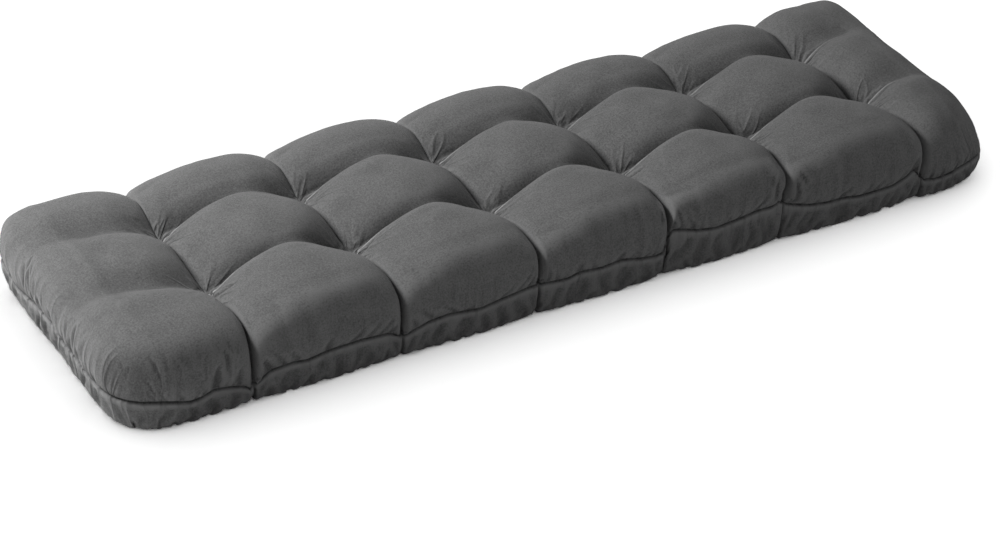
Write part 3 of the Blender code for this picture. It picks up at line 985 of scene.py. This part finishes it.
def make_tie(node, radius, turns):
    """One doubled thread, arched over the tuft: two strands that turn about each other, with closed ends."""
    low, high = (np.array(corner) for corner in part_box(node))
    middle, reach = (low + high) / 2, (high[1] - low[1]) / 2 - radius * 0.4
    points, quads, caps, quad_uv = [], [], [], []
    for half in (0, 1):
        path, rings = strand(middle, reach, low[2], radius, turns, half * math.pi)
        count = rings.shape[0] * ROUND_STEPS
        base = half * (count + 2)
        ids = base + np.arange(count).reshape(-1, ROUND_STEPS)
        ids = np.column_stack([ids, ids[:, :1]])
        quads.append(grid_quads(ids))
        along = np.linspace(0, 2 * reach, STRAND_STEPS + 1)
        around = np.linspace(0, 2 * math.pi * radius, ROUND_STEPS + 1)
        grid = flat_map(along, around)
        quad_uv.append(grid[grid_quads(np.arange(len(grid)).reshape(-1, ROUND_STEPS + 1))])
        points += [rings.reshape(-1, 3), path[[0, -1]]]
        for end, order, centre in ((0, -1, base + count), (-1, 1, base + count + 1)):
            pairs = np.stack([ids[end, :-1], ids[end, 1:]], axis=1)[:, ::order]
            caps.append(np.column_stack([pairs, np.full(len(pairs), centre)]))
    points, caps = np.concatenate(points), np.concatenate(caps)
    return add_mesh(
        f"{node}_thread",
        points,
        np.concatenate(quads),
        np.concatenate(quad_uv),
        caps,
        np.zeros((len(caps), 3, 2)),
        np.zeros(len(points)),
    )


# ------------------------------------------------------------------ materials

def put(tree, kind, inputs, **settings):
    """A new node with its settings, its inputs joined to sockets or set to values. Gives its outputs."""
    node = tree.nodes.new(kind)
    for name, value in settings.items():
        setattr(node, name, value)
    for name, value in inputs.items():
        if isinstance(value, bpy.types.NodeSocket):
            tree.links.new(value, node.inputs[name])
        else:
            node.inputs[name].default_value = value
    return node.outputs


def reckon(tree, operation, *values):
    """The result of a Math node."""
    return put(tree, "ShaderNodeMath", dict(enumerate(values)), operation=operation)[0]


def product(tree, value, *others):
    """The product of two or more values."""
    for other in others:
        value = reckon(tree, "MULTIPLY", value, other)
    return value


def weighed(tree, value, *parts):
    """A value and the weighed parts added to it, each part a pair of a value and its weight."""
    for part, weight in parts:
        value = reckon(tree, "MULTIPLY_ADD", part, weight, value)
    return value


def limited(tree, value, slope, start):
    """start + slope times a value, kept from 0 to 1."""
    return put(tree, "ShaderNodeClamp", {0: reckon(tree, "MULTIPLY_ADD", value, slope, start)})[0]


def ridges(tree, place, steep):
    """Soft folds: ridges where a noise is near 0.5, as high as 1 - steep |noise - 0.5| and at least 0."""
    line = put(tree, "ShaderNodeCombineXYZ", dict(enumerate(place)))[0]
    inputs = {"Vector": line, "Scale": 1.0, "Detail": 1.5, "Roughness": 0.4}
    noise = put(tree, "ShaderNodeTexNoise", inputs)[0]
    away = reckon(tree, "ABSOLUTE", reckon(tree, "SUBTRACT", noise, 0.5))
    return limited(tree, away, -steep, 1.0)


def effect(name, inputs, outputs):
    """An empty node group with named sockets: the tree, what it is given and what it puts out."""
    tree = bpy.data.node_groups.new(name, "ShaderNodeTree")
    for label, kind, value in inputs:
        socket = tree.interface.new_socket(label, in_out="INPUT", socket_type=f"NodeSocket{kind}")
        if value is not None:
            socket.default_value = value
    for label in outputs:
        tree.interface.new_socket(label, in_out="OUTPUT", socket_type="NodeSocketFloat")
    return tree, tree.nodes.new("NodeGroupInput").outputs, tree.nodes.new("NodeGroupOutput").inputs


def shared(name, build):
    """The group that several materials share: built by the first of them that is made."""
    return bpy.data.node_groups.get(name) or build()


def placed(tree, group, inputs):
    """The outputs of an effect placed in a material."""
    node = tree.nodes.new("ShaderNodeGroup")
    node.node_tree = group
    for name, value in inputs.items():
        if isinstance(value, bpy.types.NodeSocket):
            tree.links.new(value, node.inputs[name])
        else:
            node.inputs[name].default_value = float(value)
    return node.outputs


SLUB_SCALE = (0.8, 0.09)  # how fast the noise of the slubs changes across a thread and along it


def round_threads(tree, across):
    """Threads side by side, |sin(pi across)|."""
    return reckon(tree, "ABSOLUTE", reckon(tree, "SINE", reckon(tree, "MULTIPLY", across, math.pi)))


def plain_weave():
    """Threads over and under each other.

    A checker of whole threads says which of the two is on top. Each thread has slubs of its own, a noise that
    is long along it and short across.
    """
    inputs = (("Map", "Vector", None), ("Spacing", "Float", 0.0012))
    tree, given, out = effect("plain weave", inputs, ("Height", "Slubs"))
    axes = put(tree, "ShaderNodeSeparateXYZ", {0: given["Map"]})
    u, v = (reckon(tree, "DIVIDE", axes[k], given["Spacing"]) for k in (0, 1))
    whole = reckon(tree, "ADD", reckon(tree, "FLOOR", u), reckon(tree, "FLOOR", v))
    top = reckon(tree, "PINGPONG", whole, 1.0)
    threads, slubs = [], []
    for across, along in ((u, v), (v, u)):
        threads.append(round_threads(tree, across))
        parts = [reckon(tree, "MULTIPLY", a, b) for a, b in zip((across, along), SLUB_SCALE)]
        line = put(tree, "ShaderNodeCombineXYZ", dict(enumerate(parts)))[0]
        slubs.append(put(tree, "ShaderNodeTexNoise", {"Vector": line, "Scale": 1.0, "Detail": 1.0})[0])
    for (one, other), label in ((threads, "Height"), (slubs, "Slubs")):
        mixed = reckon(tree, "MULTIPLY_ADD", reckon(tree, "SUBTRACT", other, one), top, one)
        tree.links.new(mixed, out[label])
    return tree


def grain():
    """Fine and coarse unevenness: two noises on the piece's own place, each from 0 to 1."""
    inputs = (("Place", "Vector", None), ("Fine Scale", "Float", 400.0), ("Coarse Scale", "Float", 16.0))
    tree, given, out = effect("grain", inputs, ("Fine", "Coarse"))
    for label, detail in (("Fine", 2.0), ("Coarse", 3.0)):
        parts = {"Vector": given["Place"], "Scale": given[f"{label} Scale"], "Detail": detail}
        tree.links.new(put(tree, "ShaderNodeTexNoise", parts)[0], out[label])
    return tree


def painted_fold_light():
    """Painted highlight on ridges, painted shade in creases and painted highlight on the sewn lip: the fold
    attribute above 0, below 0 and above 1.
    """
    inputs = (("Fold", "Float", 0.0), ("Grain", "Float", 0.5))
    tree, given, out = effect("painted fold light", inputs, ("Ridge Highlight", "Crease Shade", "Edge Highlight"))
    rough = reckon(tree, "MULTIPLY_ADD", given["Grain"], 0.8, 0.6)
    edge = put(tree, "ShaderNodeClamp", {0: reckon(tree, "SUBTRACT", given["Fold"], 1.0)})[0]
    tree.links.new(reckon(tree, "MULTIPLY", edge, rough), out["Edge Highlight"])
    for label, way in (("Ridge Highlight", 1.0), ("Crease Shade", -1.0)):
        share = reckon(tree, "MULTIPLY", reckon(tree, "MULTIPLY", given["Fold"], way), rough)
        limited = put(tree, "ShaderNodeClamp", {0: share})[0]
        tree.links.new(limited, out[label])
    return tree


STITCH_IN, STITCH_HALF = 0.0024, 0.0005  # how far in from the seam the stitches lie, and half their thickness
STITCH_LENGTH, STITCH_SHARE = 0.0036, 0.72  # from one stitch to the next, and the share of it that shows
PUCKER_REACH, PUCKER_STEEP = 0.08, 9.0  # how far the puckers run from the seam, and how narrow they are
STAR_START, STAR_REACH, STAR_STEEP = 0.006, 0.085, 12.0  # where a star starts and ends, and how narrow it is
# How fast the noises change: a pucker's along the seam and away from it, and a star's round its tuft and out.
PUCKER_SCALE, STAR_SCALE = (36.0, 6.0), (2.4, 14.0)
ROW_APART, TUFT_APART = 7.3, 3.7  # what sets the stars of the two rows, and of two tufts, apart in the noise
EDGE_HALF = 0.0022  # half the width of the pressed edge
PLY_STEP = 0.00065  # from one ridge of a strand's ply to the next
SEAM_INPUTS = (("Map", "Vector", None), ("Cloth Length", "Float", 1.7), ("Half Width", "Float", 0.25))
TUFT_INPUTS = (("Map", "Vector", None), ("First Tuft", "Float", 0.2), ("Tuft Pitch", "Float", 0.22))


def by_seams(tree, given):
    """The cloth map's axes, the distances from the end and side seams, and 1 where the end's is nearer."""
    axes = put(tree, "ShaderNodeSeparateXYZ", {0: given["Map"]})
    by_end = reckon(tree, "MINIMUM", axes[0], reckon(tree, "SUBTRACT", given["Cloth Length"], axes[0]))
    by_side = reckon(tree, "SUBTRACT", given["Half Width"], reckon(tree, "ABSOLUTE", axes[1]))
    return axes, by_end, by_side, reckon(tree, "LESS_THAN", by_end, by_side)


def seam_stitches():
    """The stitches just inside the seam of the top cloth: dashes on a line a little in from its rim."""
    tree, given, out = effect("seam stitches", SEAM_INPUTS, ("Stitch",))
    axes, by_end, by_side, at_end = by_seams(tree, given)
    along = reckon(tree, "MULTIPLY_ADD", reckon(tree, "SUBTRACT", axes[1], axes[0]), at_end, axes[0])
    off = reckon(tree, "SUBTRACT", reckon(tree, "MINIMUM", by_end, by_side), STITCH_IN)
    line = reckon(tree, "LESS_THAN", reckon(tree, "ABSOLUTE", off), STITCH_HALF)
    part = reckon(tree, "FRACT", reckon(tree, "DIVIDE", along, STITCH_LENGTH))
    dash = reckon(tree, "LESS_THAN", part, STITCH_SHARE)
    tree.links.new(reckon(tree, "MULTIPLY", line, dash), out["Stitch"])
    return tree


def seam_puckers():
    """Soft folds that run from the seams over the faces and down the band.

    They are highest at the seam, and fade with the 1.5th power of the distance that is left to PUCKER_REACH.
    Over the corners of the top cloth, where the two seams are equally near, there are none.
    """
    tree, given, out = effect("seam puckers", SEAM_INPUTS, ("Height",))
    axes, by_end, by_side, at_end = by_seams(tree, given)
    on_band = reckon(tree, "LESS_THAN", axes[1], -0.9)
    on_top = reckon(tree, "LESS_THAN", reckon(tree, "ABSOLUTE", axes[1]), 0.9)
    turned = reckon(tree, "MULTIPLY", at_end, on_top)
    along = reckon(tree, "MULTIPLY_ADD", reckon(tree, "SUBTRACT", axes[1], axes[0]), turned, axes[0])
    top_off = reckon(tree, "MINIMUM", by_end, by_side)
    band_off = reckon(tree, "SUBTRACT", float(BAND_V), axes[1])
    off = reckon(tree, "MULTIPLY_ADD", reckon(tree, "SUBTRACT", band_off, top_off), on_band, top_off)
    place = (*(reckon(tree, "MULTIPLY", a, b) for a, b in zip((along, off), PUCKER_SCALE)), on_band)
    fade = limited(tree, off, -1 / PUCKER_REACH, 1.0)
    gap = reckon(tree, "ABSOLUTE", reckon(tree, "SUBTRACT", by_end, by_side))
    clear = limited(tree, gap, 1 / 0.05, -0.4)
    where = reckon(tree, "MAXIMUM", on_band, reckon(tree, "MULTIPLY", on_top, clear))
    height = product(tree, ridges(tree, place, PUCKER_STEEP), reckon(tree, "POWER", fade, 1.5), where)
    tree.links.new(height, out["Height"])
    return tree


def tuft_folds_near():
    """What the ties do to the cloth round them: a star of small folds, whose ridges are painted lighter, and
    one pressed edge to the right, painted pale as a highlight.

    The star is ridges of a noise over the angle about the nearest tuft, from STAR_START to STAR_REACH out.
    The pressed edge follows the main fold's own ridge, at v = FOLD_CURVE (u / length)^2 from its tuft.
    """
    tree, given, out = effect("tuft folds", (*TUFT_INPUTS, ("Row", "Float", 0.09)), ("Star", "Edge Highlight"))
    axes = put(tree, "ShaderNodeSeparateXYZ", {0: given["Map"]})
    pitch = given["Tuft Pitch"]
    after = reckon(tree, "SUBTRACT", axes[0], given["First Tuft"])
    way = reckon(tree, "SIGN", axes[1])
    behind = reckon(tree, "SUBTRACT", reckon(tree, "ABSOLUTE", axes[1]), given["Row"])
    behind = reckon(tree, "MULTIPLY", behind, way)

    half = reckon(tree, "MULTIPLY_ADD", pitch, 0.5, after)
    beside = reckon(tree, "FLOORED_MODULO", half, pitch)
    beside = reckon(tree, "SUBTRACT", beside, reckon(tree, "MULTIPLY", pitch, 0.5))
    far = reckon(tree, "SQRT", weighed(tree, reckon(tree, "MULTIPLY", beside, beside), (behind, behind)))
    angle = reckon(tree, "ARCTAN2", behind, beside)
    number = reckon(tree, "FLOOR", reckon(tree, "DIVIDE", half, pitch))
    which = reckon(tree, "MULTIPLY_ADD", way, ROW_APART, number)
    place = (
        reckon(tree, "MULTIPLY", reckon(tree, "COSINE", angle), STAR_SCALE[0]),
        reckon(tree, "MULTIPLY", reckon(tree, "SINE", angle), STAR_SCALE[0]),
        reckon(tree, "MULTIPLY_ADD", far, STAR_SCALE[1], reckon(tree, "MULTIPLY", which, TUFT_APART)),
    )
    fade = limited(tree, far, -1 / STAR_REACH, 1.0)
    start = limited(tree, far, 1 / STAR_START, 0.0)
    last = reckon(tree, "MULTIPLY", pitch, float(COLUMN_LINES))
    within = product(tree, reckon(tree, "GREATER_THAN", half, 0.0), reckon(tree, "LESS_THAN", half, last))
    star = product(tree, ridges(tree, place, STAR_STEEP), fade, start, within)
    tree.links.new(star, out["Star"])

    run = reckon(tree, "FLOORED_MODULO", after, pitch)
    share = reckon(tree, "DIVIDE", run, TUFT_FOLDS[1][0][1])
    bent = product(tree, share, share, FOLD_CURVE)
    off = reckon(tree, "ABSOLUTE", reckon(tree, "SUBTRACT", behind, bent))
    edge = limited(tree, off, -1 / EDGE_HALF, 1.0)
    fade = limited(tree, share, -0.75, 1.0)
    noise = put(tree, "ShaderNodeTexNoise", {"Vector": given["Map"], "Scale": 90.0, "Detail": 2.0})[0]
    uneven = limited(tree, noise, 3.0, -0.7)
    edge = product(tree, edge, fade, uneven, reckon(tree, "GREATER_THAN", after, 0.0), within)
    tree.links.new(edge, out["Edge Highlight"])
    return tree


def new_material(name, sheen, sheen_rough, specular):
    """A material, its tree and its shader, with what is the same all over set on the shader."""
    material = bpy.data.materials.new(name)
    material.use_nodes = True
    shader = material.node_tree.nodes["Principled BSDF"]
    shader.inputs["Sheen Weight"].default_value = sheen
    shader.inputs["Sheen Roughness"].default_value = sheen_rough
    shader.inputs["Specular IOR Level"].default_value = specular
    return material, material.node_tree, shader


def tinted(tree, colour, share, darkest, lightest):
    """A colour between darkest and lightest times itself, by a share from 0 to 1."""
    return mixed_colour(tree, share, *(times(colour, k) for k in (darkest, lightest)))


def times(colour, k):
    """A colour k times as bright, with no part over 1, and its alpha."""
    return (*(min(c * k, 1) for c in colour), 1)


def mixed_colour(tree, share, one, other):
    """The colour that lies a share of the way from one to the other."""
    return put(tree, "ShaderNodeMix", {0: share, 6: one, 7: other}, data_type="RGBA")[2]


def bumped(tree, height, distance, strength, normal=None):
    """The normal after a Bump node."""
    inputs = {"Height": height, "Distance": distance, "Strength": strength}
    if normal is not None:
        inputs["Normal"] = normal
    return put(tree, "ShaderNodeBump", inputs)[0]


def cloth_material(colour, spacing, cloth_length, first_tuft, tuft_pitch):
    """Charcoal spun cloth: weave, slubs, blotches of colour and stitches, with painted highlight on ridges
    and along pressed edges and painted shade in creases.
    """
    material, tree, shader = new_material("charcoal woven cloth", 0.10, 0.45, 0.22)
    place = put(tree, "ShaderNodeTexCoord", {})["Object"]
    cloth_map = put(tree, "ShaderNodeUVMap", {}, uv_map="cloth")[0]
    fold = put(tree, "ShaderNodeAttribute", {}, attribute_name="fold")["Fac"]
    weave = placed(tree, plain_weave(), {"Map": cloth_map, "Spacing": spacing})
    scales = {"Fine Scale": 430.0, "Coarse Scale": 13.0}
    uneven = placed(tree, shared("grain", grain), {"Place": place} | scales)
    fold_light = placed(tree, shared("painted fold light", painted_fold_light), {"Fold": fold, "Grain": uneven["Fine"]})
    lengths = {"Map": cloth_map, "Cloth Length": cloth_length, "Half Width": float(MIDDLE_AT)}
    stitch = placed(tree, seam_stitches(), lengths)["Stitch"]
    rows = {"First Tuft": first_tuft, "Tuft Pitch": tuft_pitch, "Row": float(MIDDLE_AT - TUFT_AT)}
    by_tuft = placed(tree, tuft_folds_near(), {"Map": cloth_map} | rows)
    pressed = by_tuft["Edge Highlight"]
    folded = weighed(tree, placed(tree, seam_puckers(), lengths)["Height"], (by_tuft["Star"], 0.9))

    # The cloth's tone: weave, slubs, grain and darker stitches, with painted highlight on ridges and on the
    # ridges of puckers and tuft stars, and painted shade in creases and hollows.
    share = weighed(
        tree, -0.48,
        (weave["Slubs"], 0.50), (weave["Height"], 0.10), (uneven["Fine"], 1.40), (uneven["Coarse"], 0.15),
        (fold_light["Ridge Highlight"], 0.55), (fold_light["Crease Shade"], -0.50), (stitch, -0.2), (folded, 0.25),
    )
    # Painted highlight: the pressed edge by each tuft and the seam's lip, mixed towards six times the cloth's
    # colour.
    pale = weighed(tree, reckon(tree, "MULTIPLY", pressed, 0.8), (fold_light["Edge Highlight"], 0.07))
    colours = mixed_colour(tree, pale, tinted(tree, colour, share, 0.4, 1.6), times(colour, 6))
    tree.links.new(colours, shader.inputs["Base Color"])
    rough = weighed(tree, 0.76, (uneven["Coarse"], 0.12), (fold_light["Ridge Highlight"], -0.10))
    tree.links.new(rough, shader.inputs["Roughness"])
    height = weighed(tree, weave["Height"], (uneven["Fine"], 0.6), (stitch, -1.5), (pressed, 4.0))
    scales = {"Fine Scale": 85.0, "Coarse Scale": 34.0}
    creased = placed(tree, shared("grain", grain), {"Place": place} | scales)
    slack = weighed(tree, creased["Coarse"], (creased["Fine"], 0.4))
    normal = bumped(tree, folded, 0.0045, 1.0, bumped(tree, slack, 0.005, 0.05))
    tree.links.new(bumped(tree, height, 0.00045, 0.55, normal), shader.inputs["Normal"])
    return material


def thread_material(colour):
    """Waxed tie thread: the fine ridges of its ply, wound along each strand, with uneven colour."""
    material, tree, shader = new_material("charcoal tie thread", 0.08, 0.4, 0.35)
    place = put(tree, "ShaderNodeTexCoord", {})["Object"]
    axes = put(tree, "ShaderNodeSeparateXYZ", {0: put(tree, "ShaderNodeUVMap", {}, uv_map="cloth")[0]})
    fold = put(tree, "ShaderNodeAttribute", {}, attribute_name="fold")["Fac"]
    scales = {"Fine Scale": 2600.0, "Coarse Scale": 300.0}
    uneven = placed(tree, shared("grain", grain), {"Place": place} | scales)
    fold_light = placed(tree, shared("painted fold light", painted_fold_light), {"Fold": fold, "Grain": uneven["Coarse"]})
    ply = round_threads(tree, reckon(tree, "DIVIDE", reckon(tree, "ADD", axes[0], axes[1]), PLY_STEP))
    share = weighed(
        tree, 0.05, (ply, 0.45), (uneven["Fine"], 0.35), (uneven["Coarse"], 0.25), (fold_light["Ridge Highlight"], 0.2),
    )
    tree.links.new(tinted(tree, colour, share, 0.5, 1.5), shader.inputs["Base Color"])
    tree.links.new(weighed(tree, 0.5, (uneven["Fine"], 0.2)), shader.inputs["Roughness"])
    height = weighed(tree, ply, (uneven["Fine"], 0.4))
    tree.links.new(bumped(tree, height, 0.0002, 0.6), shader.inputs["Normal"])
    return material


# ------------------------------------------------------------------ stage

# The camera as worked out from the photograph's grid of tufts, and the lamp behind the left end.
CAMERA_AT = (-1.615, -2.7401, 1.8433)
CAMERA_LOOK = (0.42448547, 0.74262681, -0.51799373)
CAMERA_RIGHT = (0.86817903, -0.49625112, 0.0)
CAMERA_LENS = 90.555
LAMP_AT, LAMP_AIM, LAMP_SIZE = (-1.66, 1.00, 1.66), (-0.1, 0, 0.1), 1.0
FLOOR_HALF = 9.0
FLOOR_GAP = 0.0005  # down to the lower floor
FLOOR_BOUNCE = 0.8  # shade of the lower floor


def make_camera():
    """The camera, at the photograph's viewing angle."""
    data = bpy.data.cameras.new("camera")
    data.sensor_width = 36
    data.lens = CAMERA_LENS
    camera = bpy.data.objects.new("camera", data)
    look, right = Vector(CAMERA_LOOK).normalized(), Vector(CAMERA_RIGHT).normalized()
    turn = Matrix((right, right.cross(look), -look)).transposed().to_4x4()
    turn.translation = CAMERA_AT
    camera.matrix_world = turn
    bpy.context.scene.collection.objects.link(camera)
    bpy.context.scene.camera = camera


def make_lamp(power, unlit):
    """One soft round lamp, high over the left end and behind it, whose light leaves out the object unlit."""
    data = bpy.data.lights.new("studio lamp", "AREA")
    data.shape = "DISK"
    data.size = LAMP_SIZE
    data.energy = power
    lamp = bpy.data.objects.new("studio lamp", data)
    lamp.location = LAMP_AT
    lamp.rotation_euler = (Vector(LAMP_AIM) - Vector(LAMP_AT)).to_track_quat("-Z", "Y").to_euler()
    bpy.context.scene.collection.objects.link(lamp)
    receivers = bpy.data.collections.new("lamp receivers")
    receivers.objects.link(unlit)
    lamp.light_linking.receiver_collection = receivers
    receivers.collection_objects[0].light_linking.link_state = "EXCLUDE"


def make_world(strength):
    """A white room whose light is softer than the white that the camera sees behind the floor."""
    world = bpy.data.worlds.new("studio")
    bpy.context.scene.world = world
    world.use_nodes = True
    tree = world.node_tree
    tree.nodes.remove(tree.nodes["Background"])
    light, white = (
        put(tree, "ShaderNodeBackground", {"Color": (1, 1, 1, 1), "Strength": s})[0] for s in (strength, 1.0)
    )
    seen = put(tree, "ShaderNodeLightPath", {})["Is Camera Ray"]
    shown = put(tree, "ShaderNodeMixShader", {0: seen, 1: light, 2: white})[0]
    tree.links.new(shown, tree.nodes["World Output"].inputs["Surface"])


def make_floor_sheet(name, height, shade):
    """A large level square of one plain shade."""
    corners = [(x * FLOOR_HALF, y * FLOOR_HALF, height) for x, y in ((-1, -1), (1, -1), (1, 1), (-1, 1))]
    mesh = bpy.data.meshes.new(name)
    mesh.from_pydata(corners, [], [(0, 1, 2, 3)])
    sheet = bpy.data.objects.new(name, mesh)
    bpy.context.scene.collection.objects.link(sheet)
    material = bpy.data.materials.new(name)
    material.use_nodes = True
    tree = material.node_tree
    tree.nodes.remove(tree.nodes["Principled BSDF"])
    diffuse = put(tree, "ShaderNodeBsdfDiffuse", {"Color": (shade, shade, shade, 1)})[0]
    tree.links.new(diffuse, tree.nodes["Material Output"].inputs["Surface"])
    mesh.materials.append(material)
    return sheet


def make_floor(shade):
    """The pale floor that the camera sees, and just below it the one that throws the lamp's light back."""
    make_floor_sheet("floor_below", -FLOOR_GAP, FLOOR_BOUNCE).visible_camera = False
    floor = make_floor_sheet("floor", 0, shade)
    for rays in ("diffuse", "glossy", "transmission", "volume_scatter", "shadow"):
        setattr(floor, f"visible_{rays}", False)
    return floor


# ------------------------------------------------------------------ settings, operators and panel

class CushionSettings(bpy.types.PropertyGroup):
    """What a user would change of the cushion."""

    colour: FloatVectorProperty(
        name="Cloth colour", description="Mean colour of the cloth", subtype="COLOR", size=3,
        min=0, max=1, default=(0.070, 0.070, 0.070),
    )
    spacing: FloatProperty(
        name="Thread spacing", description="From one thread of the weave to the next", unit="LENGTH",
        min=0.0004, max=0.004, precision=4, default=0.0012,
    )
    lumps: FloatProperty(
        name="Lumps", description="How far the filling's own unevenness stands in or out", unit="LENGTH",
        min=0, max=0.004, precision=4, default=0.0016,
    )
    wrinkles: FloatProperty(
        name="Wrinkles", description="How far the loose cloth may leave the filling", unit="LENGTH",
        min=0, max=0.005, precision=4, default=0.0024,
    )
    folds: FloatProperty(
        name="Tuft folds", description="Height of the folds round the tufts", subtype="FACTOR",
        min=0, max=1.5, default=1.0,
    )
    gather: FloatProperty(
        name="Band gather", description="How much longer the band is cut than its seam", subtype="FACTOR",
        min=0, max=0.2, default=0.08,
    )
    seed: IntProperty(name="Seed", description="Start of the random draws", min=0, default=7)


class TieSettings(bpy.types.PropertyGroup):
    """What a user would change of the ties."""

    colour: FloatVectorProperty(
        name="Thread colour", description="Mean colour of the ties", subtype="COLOR", size=3,
        min=0, max=1, default=(0.28, 0.28, 0.28),
    )
    radius: FloatProperty(
        name="Strand radius", description="Of each of a tie's two strands", unit="LENGTH",
        min=0.0003, max=0.0009, precision=5, default=0.00062,
    )
    turns: FloatProperty(
        name="Turns", description="How far the strands turn about each other", min=0, max=8, default=2.6,
    )


class StudioSettings(bpy.types.PropertyGroup):
    """What a user would change of the studio."""

    lamp: FloatProperty(name="Lamp", description="Power of the lamp", unit="POWER", min=0, default=94.0)
    fill: FloatProperty(name="Fill", description="Strength of the room's light", min=0, max=2, default=0.38)
    floor: FloatProperty(name="Floor", description="How pale the floor looks", min=0, max=6, default=3.2)


class OBJECT_OT_make_cushion(bpy.types.Operator):
    """Make the cushion: relax its cloth over the filling and close it into one piece"""

    bl_idname = "object.make_cushion"
    bl_label = "Make cushion"

    def execute(self, context):
        chosen = context.scene.cushion_settings
        names = ("lumps", "wrinkles", "folds", "gather", "seed")
        look = RELAX | {name: getattr(chosen, name) for name in names}
        cloth, (cloth_length, tuft, next_tuft) = make_cushion(look)
        material = cloth_material(chosen.colour, chosen.spacing, cloth_length, tuft, next_tuft - tuft)
        cloth.data.materials.append(material)
        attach(cloth, "root")
        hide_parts("cushion")
        return {"FINISHED"}


class OBJECT_OT_make_ties(bpy.types.Operator):
    """Make the twelve thread ties, one in each tuft"""

    bl_idname = "object.make_ties"
    bl_label = "Make ties"

    def execute(self, context):
        chosen = context.scene.tie_settings
        material = thread_material(chosen.colour)
        for row in ("front", "back"):
            for k in range(1, COLUMN_LINES + 1):
                node = f"tie_{row}_{k}"
                tie = make_tie(node, chosen.radius, chosen.turns)
                tie.data.materials.append(material)
                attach(tie, "root")
                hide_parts(node)
        return {"FINISHED"}


class OBJECT_OT_make_studio(bpy.types.Operator):
    """Make the plain floor, the soft light and the camera"""

    bl_idname = "object.make_studio"
    bl_label = "Make studio"

    def execute(self, context):
        chosen = context.scene.studio_settings
        context.scene.view_settings.view_transform = "Standard"
        make_world(chosen.fill)
        make_lamp(chosen.lamp, make_floor(chosen.floor))
        make_camera()
        return {"FINISHED"}


class VIEW3D_PT_cushion(bpy.types.Panel):
    """The cushion's settings and what makes each part of it"""

    bl_idname = "VIEW3D_PT_cushion"
    bl_label = "Tufted bench cushion"
    bl_space_type = "VIEW_3D"
    bl_region_type = "UI"
    bl_category = "Cushion"

    def draw(self, context):
        scene = context.scene
        for settings, operator in (
            (scene.cushion_settings, OBJECT_OT_make_cushion),
            (scene.tie_settings, OBJECT_OT_make_ties),
            (scene.studio_settings, OBJECT_OT_make_studio),
        ):
            box = self.layout.box()
            for name in type(settings).__annotations__:
                box.prop(settings, name)
            box.operator(operator.bl_idname)


CLASSES = (
    CushionSettings,
    TieSettings,
    StudioSettings,
    OBJECT_OT_make_cushion,
    OBJECT_OT_make_ties,
    OBJECT_OT_make_studio,
    VIEW3D_PT_cushion,
)


def register():
    for cls in CLASSES:
        bpy.utils.register_class(cls)
    bpy.types.Scene.cushion_settings = PointerProperty(type=CushionSettings)
    bpy.types.Scene.tie_settings = PointerProperty(type=TieSettings)
    bpy.types.Scene.studio_settings = PointerProperty(type=StudioSettings)


def unregister():
    for name in ("cushion_settings", "tie_settings", "studio_settings"):
        delattr(bpy.types.Scene, name)
    for cls in reversed(CLASSES):
        bpy.utils.unregister_class(cls)


def main():
    register()
    bpy.ops.object.make_cushion()
    bpy.ops.object.make_ties()
    bpy.ops.object.make_studio()


if __name__ == "__main__":
    main()
